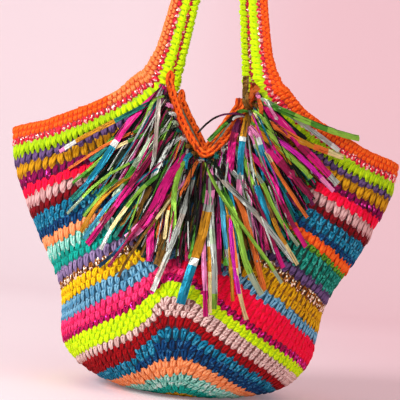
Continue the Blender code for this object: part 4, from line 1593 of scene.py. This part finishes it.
@dataclass
class NeckTrim:
    """Chain edge of one V of the mouth: a core cord and a chain on its three open sides."""

    shop: Workshop
    name: str
    face: Face
    core_radius: float = 0.0028
    core_sides: int = 10
    wall_thickness: float = 0.0050
    chain_width: float = 0.0094
    chain_pitch: float = 0.0062
    chain_depth: float = 0.0022
    chain_swell: float = 0.0050
    chain_overlap: float = 1.6
    top_rise: float = 0.010
    inset: float = 0.0
    line_step: float = 0.0012
    rounded_steps: int = 4
    ending_steps: float = 3.0
    ending_share: float = 0.05
    seam: float = 0.00001

    def _line(self) -> Array:
        """Follow the trim from its left top over the V's bottom to its right top.

        Returns:
            Points of its middle line.
        """
        form = self.shop.form
        side = form.neck_side(self.face)
        side[:, 0] = np.maximum(side[:, 0] - self.inset, np.minimum(side[:, 0], 0.0))
        side = np.vstack((side, (side[-1, 0], form.handle_root_height + self.top_rise)))
        whole = np.vstack(((side * (-1.0, 1.0))[:0:-1], side))
        lengths = run_along(whole)
        runs = np.linspace(0.0, lengths[-1], int(lengths[-1] / self.line_step))
        x, z = read_between(runs, lengths, whole).T
        window = 2 * self.rounded_steps + 1
        z = np.convolve(np.pad(z, self.rounded_steps, mode="edge"), np.ones(window) / window, mode="valid")
        y = self.face.direction * (form.depth_at(x, z) - 0.5 * self.wall_thickness)
        return np.stack((x, y, z), axis=1)

    def build(self) -> list[Object]:
        """Make the core and the chains.

        Returns:
            Both pieces.
        """
        line = self._line()
        along = unit(np.gradient(line, axis=0))
        out = np.tile((0.0, self.face.direction, 0.0), (len(line), 1))
        out = unit(out - np.sum(out * along, axis=1)[:, None] * along)
        inward = np.cross(along, out) * -self.face.direction
        number = np.arange(len(line))
        ease = np.clip(np.minimum(number, number[::-1]) / self.ending_steps, self.ending_share, 1.0)
        sides = self.core_sides
        points = []
        for i, reach in enumerate(self.core_radius * np.sqrt(ease)):
            for s in range(sides):
                angle = math.tau * s / sides
                points.append(line[i] + reach * (math.cos(angle) * out[i] + math.sin(angle) * inward[i]))
        ends = [tuple(range(sides)), tuple(range((len(line) - 1) * sides, len(line) * sides))]
        shop = self.shop
        faces = ends + patches(len(line), sides)
        # The cord takes the trim yarn's painted shade, which shows between the chain's stitches
        core = mesh_piece(self.name + "_core", points, faces, [shop.cloths[Yarn.TRIM_ORANGE]])
        close_seams(core, self.seam)
        run: list[Stitch] = []
        lengths = run_along(line)
        size = (self.chain_width, self.chain_pitch * self.chain_overlap, self.chain_swell)
        for k in range(int(lengths[-1] / self.chain_pitch)):
            i = int(np.searchsorted(lengths, (k + 0.5) * self.chain_pitch))
            for way in (out[i], inward[i], -out[i]):
                run.append(Stitch(line[i] + way * self.chain_depth, along[i], way, size))
        yarn = shop.yarns[Yarn.TRIM_ORANGE]
        return [core, shop.stitches.make(self.name + "_chain", run, StitchStyle.CHAIN, yarn)]


@dataclass
class Lining:
    """Thin cotton cup sewn inside the wall."""

    wall: CrochetWall
    inset: float = 0.0062
    thickness: float = 0.0006
    wrinkle: float = 0.0009
    columns: int = 200
    rings: int = 70
    long_folds: Three = (9.0, 2.3, 0.21)
    short_folds: tuple[float, float] = (5.0, 0.9)
    base_ease: float = 3.0
    seam: float = 0.00002
    flat_width: float = 0.84
    flat_length: float = 0.40
    flat_area: float = 0.24

    def _folds(self, turn: Array, rounds: Array) -> Array:
        """Work out the wrinkles: long upright and winding ones and short slanted ones.

        Args:
            turn: Turns.
            rounds: Even rounds.

        Returns:
            Their height, from -2 to 2.
        """
        upright, winding, slow = self.long_folds
        around, slanted = self.short_folds
        long = np.sin(upright * turn + winding * np.sin(slow * rounds))
        return long + np.sin(slanted * rounds + around * turn)

    def build(self) -> Object:
        """Make the cup as one closed thin sheet, with its wrinkles.

        Returns:
            The cup.
        """
        surface = self.wall.shop.surface
        count = self.columns
        turn = np.arange(count) * 4.0 / count
        ends = self.wall.ends(turn)
        rings = []
        for side in (0, 1):
            for k in range(self.rings + 1):
                share = k / self.rings if side == 0 else 1.0 - k / self.rings
                rounds = ends * share
                folds = 1.0 + 0.5 * self._folds(turn, rounds)
                inward = self.inset + self.wrinkle * folds * min(1.0, self.base_ease * share)
                inward = inward + (self.thickness if side else 0.0)
                points, _ = surface.place(turn, rounds, -inward)
                points[:, 2] = np.maximum(points[:, 2], inward)
                rings.append(points)
        faces = patches(len(rings), count) + cap_ring(0, count) + cap_ring((len(rings) - 1) * count, count)
        cotton = WovenCotton().material("grey_green_woven_cotton")
        lining = mesh_piece("lining_cup", np.concatenate(rings), faces, [cotton])
        uvs = []
        for loop in lining.data.loops:
            ring, column = divmod(loop.vertex_index, count)
            height = ring if ring <= self.rings else 2 * self.rings + 1 - ring
            uvs.append((column / count * self.flat_width, height / self.rings * self.flat_length))
        add_uv(lining.data, "cloth", uvs)
        close_seams(lining, self.seam)
        return lining


@dataclass(frozen=True)
class Strip:
    """One foil strip of the fringe.

    Its line runs from the knot to the tip, as the x and the z of each corner in turn, in
    millimetres. The tints are its colours in that order, one letter of Foil for each equal
    part. The lift is how far it stands off the wall halfway, in millimetres; the roll and the
    twist turn it about its length, in degrees at its knot and on the way to its tip.
    """

    line: tuple[float, ...]
    width: float
    tints: str
    lift: float = 8.0
    roll: float = 0.0
    twist: float = 0.0


@dataclass(frozen=True)
class Filling:
    """Strips drawn for each tuft: how many, and their widths and lifts in millimetres."""

    count: int
    widths: tuple[float, float]
    lifts: tuple[float, float]


# Strips behind and among the bold ones: mostly near-black film, laid low as painted shade deep in the
# fringe, and some thin bright strips, with the brighter set to the left and right of the V
SHADE_FILLING = Filling(13, (3.5, 6.0), (1.0, 3.5))
THIN_FILLING = Filling(10, (0.9, 1.9), (3.0, 9.5))
SHADE_TINTS = "D T T D N R C T D X DDE TTR DDG TTC".split()
LIT_TINTS = "G L S M Y T O B W GGY TTW CCM SW R GL YO P M V MMW T D T D X".split()
THIN_TINTS = "G T S D M T B R T D TTA CCM GGR TL X T D TTW".split()

# Bold strips as the fringe shows them, from its left to its right, lower layers first
PLACED_STRIPS = tuple(Strip(*values) for values in (
    ((-50, 297, -60, 283, -78, 262, -94, 231, -105, 208, -118, 187, -126, 180), 6.5, "MMMMMMMMMWBBBBBBBEEW"),
    ((-54, 290, -68, 268, -86, 244, -112, 220), 6, "DDDE", 5),
    ((-60, 282, -76, 270, -98, 257, -106, 252, -130, 238, -144, 227), 4.5, "EEEEEEEYYYYYYWWP", 9),
    ((-45, 268, -58, 262, -70, 243, -88, 215), 6, "D", 6),
    ((-48, 276, -66, 250, -92, 222, -118, 204), 5, "TTDDG", 5),
    ((-40, 258, -48, 255, -58, 238, -66, 220, -75, 203, -84, 186), 5.5, "AAAGA", 9),
    ((-50, 298, -50, 270, -49, 254, -50, 220, -51, 189), 4.5, "KKKSK", 11, 10),
    ((-33, 246, -36, 243, -42, 226, -46, 210, -50, 186), 5, "WSWSS", 8),
    ((-52, 288, -57, 283, -62, 262, -70, 254), 3, "L", 9),
    ((-91, 234, -105, 218, -121, 200, -126, 196), 3.2, "GGILG", 8),
    ((-100, 238, -119, 222, -134, 212), 3, "GOO", 7),
    ((-62, 246, -76, 216, -92, 190, -112, 166), 6, "DEDGE", 4.5),
    ((-88, 195, -103, 172, -108, 159, -113, 150), 5, "RYYY", 7),
    ((-84, 186, -97, 162, -108, 143), 4, "BUU", 7.5),
    ((-90, 194, -104, 176, -111, 165), 3.2, "EEL", 7),
    ((-98, 204, -112, 186, -121, 176, -128, 166), 3.2, "EELLA", 7.5),
    ((-50, 216, -62, 185, -70, 166, -79, 148), 7, "DDEEE", 6),
    ((-60, 196, -72, 175, -81, 160, -90, 142, -91, 135), 4.2, "RGLIW", 8),
    ((-38, 252, -43, 245, -56, 222, -69, 197, -84, 172, -90, 159, -104, 138), 6.5, "CCCMCM", 10),
    ((-46, 212, -52, 186, -66, 170, -75, 158), 6, "TTRR", 5),
    ((-30, 206, -45, 178, -58, 158, -75, 133, -83, 127, -91, 119), 3.5, "CCCCBN", 8),
    ((-40, 190, -66, 146, -82, 120), 3.2, "CCC", 7),
    ((-50, 152, -56, 145, -63, 129, -71, 111), 2.8, "PIRR", 8),
    ((-14, 236, -30, 214, -40, 190), 8, "MMV", 7),
    ((-16, 238, -25, 225, -35, 206, -43, 176, -55, 158, -66, 147), 9, "MMMMMP", 10.5, 8),
    ((-24, 222, -36, 196, -48, 172, -60, 152), 7, "MVM", 7.5, -14),
    ((-40, 185, -47, 162, -43, 146, -43, 128), 7, "CMM", 6.5),
    ((-30, 212, -34, 180, -38, 163, -37, 150), 4.2, "DDRO", 6),
    ((-26, 206, -30, 180, -31, 150), 3.2, "TOI", 6.5),
    ((-18, 232, -18, 215), 5, "B", 7),
    ((-14, 226, -20, 196, -24, 168, -26, 132), 6, "DDED", 4),
    ((-9, 226, -14, 209, -20, 196, -22, 184), 4.2, "O", 9),
    ((-18, 232, -25, 213, -27, 193, -24, 169, -23, 144.5), 5.2, "LLLLL", 10),
    ((-8, 226, -11, 201, -16, 172, -20, 160, -25, 137, -31, 119, -36, 101), 5.2, "BSSKSSKW", 9),
    ((-4, 228, -8, 200, -6, 172, -5, 150), 5.5, "NDND", 5),
    ((-2, 214, -6, 185, -5, 165), 5, "RRN", 6.5),
    ((2, 222, 4, 180, 3, 150), 4.5, "GD", 7),
    ((16, 220, 26, 188, 30, 160, 31, 138), 7, "DDTD", 4),
    ((5, 212, 16, 200, 20, 162, 23, 142, 24, 122), 4.5, "CCMC", 6),
    ((6, 150, 8, 130, 11, 112, 13, 95, 14.5, 82.5), 4.6, "CCPPM", 7),
    ((9, 200, 10, 165, 15, 120, 16, 108, 17.5, 97, 19, 86), 3.4, "GGGWYII", 8),
    ((9, 210, 8.5, 190, 6, 168, 5, 156, 2, 141, -3, 126, -4.5, 118, -9, 92),
     8.6, "PPXXPPSWYYYYYYSWBBBBBB", 11),
    ((8, 215, 11.5, 170, 17, 141, 20, 120, 21, 98, 22, 90), 5.4, "SASASSL", 9.5),
    ((18, 206, 24, 168, 26, 156, 30, 143, 34, 130), 4.4, "DWUUUW", 8),
    ((22, 214, 32, 190, 36, 158, 39, 140, 42.5, 125), 3.2, "DBBBW", 8.5),
    ((24, 196, 32, 160, 36, 134, 40, 119, 43.5, 106), 4.4, "XXVVV", 7),
    ((26, 186, 33, 140, 37, 112, 39, 99), 3.4, "RYRYY", 7.5),
    ((28, 180, 36, 150, 40, 125, 44, 106, 53.5, 83), 4.4, "BBOOII", 8.5),
    ((26, 222, 34, 190, 38, 170, 41, 160, 53, 133), 7, "DDRRR", 5),
    ((46, 205, 47, 197, 49, 165), 5, "S", 7),
    ((36, 196, 50, 165, 54, 150, 61, 134, 68, 112), 6, "ROOOO", 8),
    ((34, 180, 42, 150, 45, 138, 54, 123, 65, 107), 6, "GGLLLA", 9),
    ((46, 206, 60, 182, 68, 165, 72, 155, 80, 143, 84, 134), 5, "XCCCM", 7),
    ((30, 240, 44, 214, 62, 190, 84, 164), 7.5, "DEDTE", 4),
    ((38, 232, 48, 215, 56, 205, 64, 182, 72, 168, 79, 161), 6.5, "BNBBE", 7),
    ((56, 222, 70, 180, 75, 171, 84, 158, 99, 139), 4.2, "RYRYI", 7),
    ((54, 222, 65, 200, 72, 186, 81, 172, 97, 156), 4.2, "AALLA", 8),
    ((58, 232, 68, 215, 76, 201, 83, 186, 93, 173, 106, 157), 5.6, "MMMCM", 8.5),
    ((10, 220, 29, 204, 44, 191, 57, 180, 75, 160, 94, 141), 5.6, "SKSSKSSW", 9.5),
    ((3, 222, 16, 201, 28, 184, 40, 171, 51, 157, 62, 145, 74, 132, 83, 119), 3.6, "LLLLLLA", 10.5),
    ((38, 240, 41, 226, 50, 207, 60, 186), 5, "L", 8),
    ((40, 285, 44, 262, 50, 242), 8, "RRDR", 5),
    ((62, 286, 80, 272, 98, 262), 8, "D", 5),
    ((54, 274, 70, 254, 92, 236, 104, 222), 7, "DTDE", 4.5),
    ((46, 262, 62, 236, 80, 212, 98, 192), 7, "DDEX", 4.5),
    ((42, 266, 50, 251, 54.5, 239, 56, 236, 63, 211), 7, "PPPPWBBBBBBB", 8.5),
    ((46, 266, 54, 248, 60, 232, 66, 214), 5, "PPPWUBBBBB", 9.5),
    ((52, 256, 64, 238, 71, 227, 84, 211, 91, 200, 105, 185), 3.8, "IIOOO", 9),
    ((54, 262, 60, 251, 73, 237, 88, 223, 102, 210, 108, 204), 9, "CCMCCC", 9, 8),
    ((30, 275, 25, 253, 26, 213, 24, 209), 7.5, "XCMMMM", 9),
    ((37, 280, 35, 260, 35, 257, 35, 230, 37, 222, 37, 203, 38, 192), 6.2, "YYYYWBBBBBBSPPPPW", 10),
    ((60, 264, 80, 244, 96, 235, 107, 225), 5.5, "GLLL", 8),
    ((70, 250, 84, 238, 93, 223), 3.4, "Y", 8.5),
    ((50, 281, 55, 274, 69, 260, 80, 252), 3.4, "L", 9),
    ((55, 261, 63, 257, 82, 251, 106, 243), 4.4, "OYOY", 8),
    ((64, 283, 70, 277, 81, 266, 99, 248, 117, 237, 124, 227, 133, 221), 7.5, "MMMMCMMS", 9),
    ((70, 258, 95, 243, 101, 238, 130, 214), 5, "MVVVP", 8),
    ((62, 272, 80, 264, 89, 259, 113, 253, 137, 248), 6, "IOOYOI", 9),
    ((55, 295, 62, 291, 80, 283, 96, 274, 114, 265, 132, 254), 5, "AASASSW", 10),
    ((60, 290, 97, 278, 124, 272, 138, 270, 152, 270), 6.5, "GGLGLL", 13, 12),
    ((49, 296, 63, 279, 70, 272), 6, "M", 9),
    ((52, 298, 62, 283, 72, 272), 3.2, "WPW", 11),
    ((46, 298, 50, 288, 53, 276), 4.2, "O", 9),
    ((34, 292, 40, 302, 46, 309), 6, "O", 5),
    ((34.5, 288, 33, 304, 32, 318), 6.2, "R", 6, 20),
    ((33, 286, 20, 272, 8, 258, 2, 250), 4, "GDGG", 1),
    ((30, 280, 16, 266, 4, 250), 2.6, "WTW", 1.5),
    ((31, 281, 21, 279, 10, 277, 0, 270, -10, 258), 2, "XT", 4),
))


@dataclass
class Fringe:
    """Bunches of foil strips, knotted to the wall just outside the front V.

    The fields whose names end in mm are in millimetres, and the angles, rolls, twists and the
    crumple are in degrees. The shifts set the creases of the strips apart.
    """

    shop: Workshop
    tufts: int = 20
    thickness: float = 0.00035
    stations: int = 20
    fine_steps: int = 5
    rounded_steps: int = 14
    root_outset: float = 0.0065
    root_reach: float = 0.006
    root_lift: float = 0.0032
    least_lift: float = 0.0018
    arch_end: float = 0.90
    arch_power: float = 0.7
    slope_step: float = 0.004
    side_wobble: float = 0.00016
    lift_wobble: float = 0.0003
    fan_middle_mm: tuple[float, float] = (0.0, 235.0)
    fan_radius_mm: float = 116.0
    fan_shortest: float = 0.62
    fan_half_angle: float = 82.0
    fan_spread: float = 10.0
    bend_mm: float = 2.5
    roll_spread: float = 12.0
    twist_spread: float = 20.0
    crumple: float = 8.0
    ragged: float = 0.03
    fold_depth: float = 0.30
    fold_wave: Three = (2.0, 5.0, 3.0)
    knot_taper: float = 0.5
    opening_speed: float = 6.0
    strip_shift: float = 1.7
    tuft_shift: int = 31
    lit_beyond: float = 0.25
    knot_half_length: float = 0.0042
    knot_width_mm: float = 4.6
    knot_outset: float = 0.002
    knot_bend: float = 0.0015
    knot_lift: tuple[float, float] = (0.0020, 0.0036)
    knot_roll: float = 16.0
    knot_stations: int = 8
    knot_look: float = 0.02
    seed: int = 5

    def __post_init__(self) -> None:
        """Make the line of roots and the random draws."""
        self.random = np.random.default_rng(self.seed)
        side = self.shop.form.neck_side(FRONT)
        line = np.vstack(((side * (-1.0, 1.0))[:0:-1], side))
        along = unit(np.gradient(line, axis=0))
        self.line = line + self.root_outset * np.stack((along[:, 1], -along[:, 0]), axis=1)
        lengths = run_along(self.line)
        self.line_share = 2.0 * lengths / lengths[-1] - 1.0

    def _root(self, share: float) -> Array:
        """Place of the front view at a share of the V, -1 at its left top and 1 at its right top."""
        return np.array([np.interp(share, self.line_share, column) for column in self.line.T])

    def _nearest(self, place: Array) -> int:
        """Number of the point of the V's line that lies nearest to a place of the front view."""
        return int(np.argmin(np.linalg.norm(self.line - place, axis=1)))

    def _fill(self, tuft: int) -> list[Strip]:
        """Draw the near-black strips of painted shade behind the bold ones, and the thin ones among them.

        Args:
            tuft: Number of the tuft.

        Returns:
            The strips.
        """
        draw = self.random
        made = []
        for number in range(SHADE_FILLING.count + THIN_FILLING.count):
            filling = SHADE_FILLING if number < SHADE_FILLING.count else THIN_FILLING
            share = -1.0 + 2.0 * (tuft + draw.uniform()) / self.tufts
            root = 1000.0 * self._root(share)
            angle = math.radians(270.0 + self.fan_half_angle * share + draw.normal(0.0, self.fan_spread))
            reach = self.fan_radius_mm * draw.uniform(self.fan_shortest, 1.0)
            tip = np.array(self.fan_middle_mm) + reach * np.array((math.cos(angle), math.sin(angle)))
            run = tip - root
            aside = np.array((run[1], -run[0])) / np.linalg.norm(run)
            middle = root + 0.5 * run + aside * draw.normal(0.0, self.bend_mm)
            thin_tints = LIT_TINTS if abs(share) > self.lit_beyond else THIN_TINTS
            palette = SHADE_TINTS if filling is SHADE_FILLING else thin_tints
            made.append(Strip(
                line=(*root, *middle, *tip),
                width=float(draw.uniform(*filling.widths)),
                tints=palette[int(draw.integers(len(palette)))],
                lift=float(draw.uniform(*filling.lifts)),
                roll=float(draw.normal(0.0, self.roll_spread)),
                twist=float(draw.normal(0.0, self.twist_spread)),
            ))
        return made

    def _spine(self, strip: Strip) -> tuple[Array, Array]:
        """Follow a strip from its knot to its tip.

        Args:
            strip: The strip.

        Returns:
            Its middle line and the way it lies flat.
        """
        depth_at = self.shop.form.depth_at
        corners = np.reshape(strip.line, (-1, 2)) / 1000.0
        root = self.line[self._nearest(corners[0])]
        if np.linalg.norm(corners[0] - root) > self.root_reach:
            corners = np.vstack((root, corners))
        lengths = run_along(corners)
        fine = read_between(
            np.linspace(0.0, lengths[-1], self.fine_steps * self.stations), lengths, corners
        )
        reach = self.rounded_steps
        window = np.ones(2 * reach + 1) / (2 * reach + 1)
        rounded = [
            np.convolve(np.pad(column, reach, mode="reflect", reflect_type="odd"), window, mode="valid")
            for column in fine.T
        ]
        pick = np.round(np.linspace(0, len(fine) - 1, self.stations)).astype(int)
        flat = np.stack(rounded, axis=1)[pick]
        t = np.linspace(0.0, 1.0, self.stations)
        aside = unit(np.gradient(flat, axis=0))[:, ::-1] * (1.0, -1.0)
        wobble = np.cumsum(self.random.normal(0.0, self.side_wobble, len(t))) * t
        x, z = (flat + aside * wobble[:, None]).T
        arch = np.sin(math.pi * np.minimum(1.0, self.arch_end * t) ** self.arch_power)
        lift = self.root_lift + strip.lift / 1000.0 * arch
        lift = lift + np.cumsum(self.random.normal(0.0, self.lift_wobble, len(t))) * t
        y = -(depth_at(x, z) + np.maximum(lift, self.least_lift))
        step = self.slope_step
        dx = depth_at(x + step, z) - depth_at(x - step, z)
        dz = depth_at(x, z + step) - depth_at(x, z - step)
        out = unit(np.stack((-dx / (2 * step), -np.ones_like(dx), -dz / (2 * step)), axis=1))
        return np.stack((x, y, z), axis=1), out

    def _ribbon(self, spine: Array, out: Array, strip: Strip, taper: float) -> Array:
        """Make a folded ribbon round a middle line.

        Args:
            spine: The middle line.
            out: Way that it lies flat.
            strip: Width, lift and turns of the ribbon.
            taper: Share of the width at its start.

        Returns:
            Six lines of points, three on its face and three on its back.
        """
        count = len(spine)
        t = np.linspace(0.0, 1.0, count)
        along = unit(np.gradient(spine, axis=0))
        flat = unit(np.cross(along, out))
        face = np.cross(flat, along)
        crumple = self.random.normal(0.0, self.crumple, count)
        turn = np.radians(strip.roll + strip.twist * t + crumple)[:, None]
        across = flat * np.cos(turn) + face * np.sin(turn)
        up = face * np.cos(turn) - flat * np.sin(turn)
        ragged = 1.0 + self.random.normal(0.0, self.ragged, count)
        opening = taper + (1.0 - taper) * np.minimum(1.0, self.opening_speed * t)
        half = 0.0005 * strip.width * (opening * ragged)[:, None]
        start, along_it, by_strip = self.fold_wave
        wave = np.sin(start + along_it * t + by_strip * strip.lift)
        fold = half * (self.fold_depth * wave[:, None])
        thick = up * self.thickness
        left, right, middle = spine - across * half, spine + across * half, spine + up * fold
        return np.stack((left, middle, right, right - thick, middle - thick, left - thick))

    def build(self) -> list[Object]:
        """Make the tufts.

        Returns:
            One piece for each.
        """
        by_tuft = [self._fill(tuft) for tuft in range(self.tufts)]
        for strip in PLACED_STRIPS:
            share = self.line_share[self._nearest(np.array(strip.line[:2]) / 1000.0)]
            by_tuft[min(self.tufts - 1, max(0, int((share + 1.0) / 2.0 * self.tufts)))].append(strip)
        return [self._tuft(index, strips) for index, strips in enumerate(by_tuft)]

    def _tuft(self, index: int, strips: list[Strip]) -> Object:
        """Make the strips and the knot of one tuft.

        Args:
            index: Number of the tuft.
            strips: Its strips.

        Returns:
            The piece.
        """
        used = sorted({letter for strip in strips for letter in strip.tints})
        ribbons = []
        for strip in strips:
            spine, out = self._spine(strip)
            ribbons.append((self._ribbon(spine, out, strip, self.knot_taper), strip.tints))
        ribbons.append(self._knot(index, used))
        across = (0.0, 0.5, 1.0, 1.0, 0.5, 0.0)
        lines = len(across)
        faces: Faces = []
        slots: list[int] = []
        uvs: list[tuple[float, float]] = []
        first = 0
        for number, (ribbon, tints) in enumerate(ribbons):
            steps = ribbon.shape[1]
            last = steps - 1
            offset = self.strip_shift * (number + self.tuft_shift * index)
            slot = [used.index(tints[min(len(tints) - 1, i * len(tints) // last)]) for i in range(steps)]
            faces += patches(lines, steps, first, closed=(True, False), flip=True)
            slots += slot[:last] * lines
            uvs += [
                (u / last, across[v] + offset)
                for s in range(lines)
                for i in range(last)
                for u, v in ((i, s), (i, (s + 1) % lines), (i + 1, (s + 1) % lines), (i + 1, s))
            ]
            for i, order in ((0, range(lines)), (last, reversed(range(lines)))):
                faces.append(tuple(first + s * steps + i for s in order))
                uvs += [(i / last, offset)] * lines
                slots.append(slot[i])
            first += lines * steps
        points = np.concatenate([ribbon.reshape(-1, 3) for ribbon, _ in ribbons])
        foils = [self.shop.foils[letter] for letter in used]
        tuft = mesh_piece(f"foil_tuft_{index + 1:02d}", points, faces, foils, slots, smooth=False)
        add_uv(tuft.data, "foil", uvs)
        close_seams(tuft)
        return tuft

    def _knot(self, index: int, used: list[str]) -> tuple[Array, str]:
        """Make the turn of foil that wraps a tuft's knot.

        Args:
            index: Number of the tuft.
            used: Letters of the tuft's foils.

        Returns:
            Its points, and the letter of its foil.
        """
        draw = self.random
        share = -1.0 + 2.0 * (index + 0.5) / self.tufts
        letter = used[int(draw.integers(len(used)))]
        along = unit(self._root(share + self.knot_look) - self._root(share - self.knot_look))
        out = np.array((along[1], -along[0]))
        t = np.linspace(0.0, 1.0, self.knot_stations)
        reach = self.knot_half_length * (2.0 * t - 1.0)
        flat = self._root(share) + out * draw.uniform(0.0, self.knot_outset) + along * reach[:, None]
        x, z = (flat + out * (self.knot_bend * np.sin(math.tau * t))[:, None]).T
        lift = self.knot_lift[0] + self.knot_lift[1] * np.sin(math.pi * t)
        spine = np.stack((x, -(self.shop.form.depth_at(x, z) + lift), z), axis=1)
        facing = np.tile((0.0, -1.0, 0.0), (len(t), 1))
        roll = float(draw.normal(0.0, self.knot_roll))
        turn = Strip((), self.knot_width_mm, letter, roll=roll)
        return self._ribbon(spine, facing, turn, 1.0), letter


@dataclass
class Studio:
    """Camera, lights, floor and backdrop; the paper glows a little for the camera and in gloss."""

    image_size: float = 400.0
    focal_pixels: float = 1125.0
    sensor_width: float = 36.0
    camera_place: Three = (-0.0007, -1.1628, 0.1364)
    camera_pitch: float = 2.90
    camera_roll: float = 5.515
    room_light: float = 0.44
    lamps: tuple[tuple, ...] = (
        ("key", (-1.5, -1.25, 1.15), 0.8, 37.0),
        ("fill", (1.3, -1.0, 0.9), 1.2, 6.5),
    )
    aim: Three = (0.0, 0.0, 0.15)
    paper_glow: float = 0.16
    far_paper_glow: float = 0.30
    half_width: float = 4.0
    front_end: float = -3.0
    curve_start: float = 2.2
    curve_radius: float = 0.8
    curve_steps: int = 16
    backdrop_height: float = 4.0

    def build(self) -> None:
        """Set up the pale pink studio."""
        scene = bpy.context.scene
        scene.view_settings.view_transform = "Standard"
        data = bpy.data.cameras.new("camera")
        data.sensor_width = self.sensor_width
        data.lens = self.sensor_width * self.focal_pixels / self.image_size
        camera = show("camera", data)
        camera.location = self.camera_place
        pitch = Euler((math.radians(90.0 + self.camera_pitch), 0.0, 0.0)).to_matrix().to_4x4()
        roll = Euler((0.0, 0.0, math.radians(self.camera_roll))).to_matrix().to_4x4()
        camera.rotation_euler = (pitch @ roll).to_euler()
        scene.camera = camera
        world = bpy.data.worlds.new("studio")
        scene.world = world
        world.use_nodes = True
        room = world.node_tree.nodes["Background"]
        feed(world.node_tree, room, {"Color": linear("#FFFAF8"), "Strength": self.room_light})
        for name, place, size, power in self.lamps:
            lamp = bpy.data.lights.new(name, "AREA")
            lamp.size = size
            lamp.energy = power
            holder = show(name, lamp)
            holder.location = place
            holder.rotation_euler = (Vector(self.aim) - Vector(place)).to_track_quat("-Z", "Y").to_euler()
        self.sweep()

    def paper(self) -> Material:
        """Make the pink paper, matt and painted a little darker towards the right as the shade of the light
        from the left.

        Returns:
            The material.
        """
        made, tree, shader = new_material("pink_background_paper")
        place = add_node(tree, "ShaderNodeTexCoord", {}).outputs["Object"]
        parts = add_node(tree, "ShaderNodeSeparateXYZ", {"Vector": place})
        # The paper is painted darker towards the right, as the shade of the light from the left
        sides = {"Value": parts.outputs["X"], "From Min": -0.35, "From Max": 0.45}
        across = add_node(tree, "ShaderNodeMapRange", sides, interpolation_type="SMOOTHSTEP")
        tones = {"Factor": across, 6: linear("#FFEAF0"), 7: linear("#F8D0D8")}
        tint_with_painted_shade = add_node(tree, "ShaderNodeMix", tones, data_type="RGBA").outputs[2]
        rays = add_node(tree, "ShaderNodeLightPath", {}).outputs
        direct = {0: rays["Is Camera Ray"], 1: rays["Is Glossy Ray"]}
        seen = add_node(tree, "ShaderNodeMath", direct, operation="MAXIMUM")
        through = {0: seen, 1: rays["Is Transmission Ray"]}
        shown = add_node(tree, "ShaderNodeMath", through, operation="MAXIMUM")
        away = {"Value": parts.outputs["Y"], "From Min": 0.3, "From Max": 1.3}
        glows = {"To Min": self.paper_glow, "To Max": self.far_paper_glow}
        level = add_node(tree, "ShaderNodeMapRange", {**away, **glows})
        glow = add_node(tree, "ShaderNodeMath", {0: shown, 1: level}, operation="MULTIPLY")
        looks = {"Base Color": tint_with_painted_shade, "Emission Color": tint_with_painted_shade, "Emission Strength": glow, "Roughness": 0.9}
        feed(tree, shader, looks)
        return made

    def sweep(self) -> None:
        """Make the floor that curves up into the backdrop."""
        line = [(self.front_end, 0.0), (self.curve_start, 0.0)]
        for i in range(1, self.curve_steps + 1):
            angle = 0.5 * math.pi * i / self.curve_steps
            rise = self.curve_radius * (1.0 - math.cos(angle))
            line.append((self.curve_start + self.curve_radius * math.sin(angle), rise))
        line.append((self.curve_start + self.curve_radius, self.backdrop_height))
        points = [(x, y, z) for y, z in line for x in (-self.half_width, self.half_width)]
        faces = patches(len(line), 2, closed=(False, False))
        mesh_piece("floor", points, faces, [self.paper()])


def join_frame(piece: Object, node: str) -> None:
    """Set a piece on the bag's body in place of a solid, and report it.

    Args:
        piece: The finished piece.
        node: Solid that it replaces.
    """
    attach(piece, BODY)
    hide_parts(node)
    triangles = sum(len(face.vertices) - 2 for face in piece.data.polygons)
    log.info("%s: %d triangles", piece.name, triangles)


def main() -> None:
    """Build the bag's pieces in order and report each."""
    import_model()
    for old in ("Cube", "Light", "Camera"):
        if old in bpy.data.objects:
            bpy.data.objects.remove(bpy.data.objects[old])
    form = BagForm()
    shop = Workshop(form, WallSurface(form), RoundTable(), StitchMaker())
    wall = CrochetWall(shop)
    for piece in (wall.shell(), *wall.stitches()):
        join_frame(piece, "body")
    band = RimAndHandles(shop)
    path = band.path()
    for piece in (band.core(path), *band.stitches(path)):
        join_frame(piece, "rim_and_handles")
    for trim in (
        NeckTrim(shop, "front_neck_trim", FRONT),
        NeckTrim(shop, "back_neck_trim", BACK, inset=BACK_TRIM_INSET),
    ):
        for piece in trim.build():
            join_frame(piece, trim.name)
    lining = Lining(wall)
    cup = lining.build()
    join_frame(cup, "lining")
    for index, tuft in enumerate(Fringe(shop).build()):
        join_frame(tuft, f"fringe_tuft_{index + 1:02d}")
    Studio().build()


if __name__ == "__main__":
    logging.basicConfig(level=logging.INFO, format="%(name)s: %(message)s")
    main()
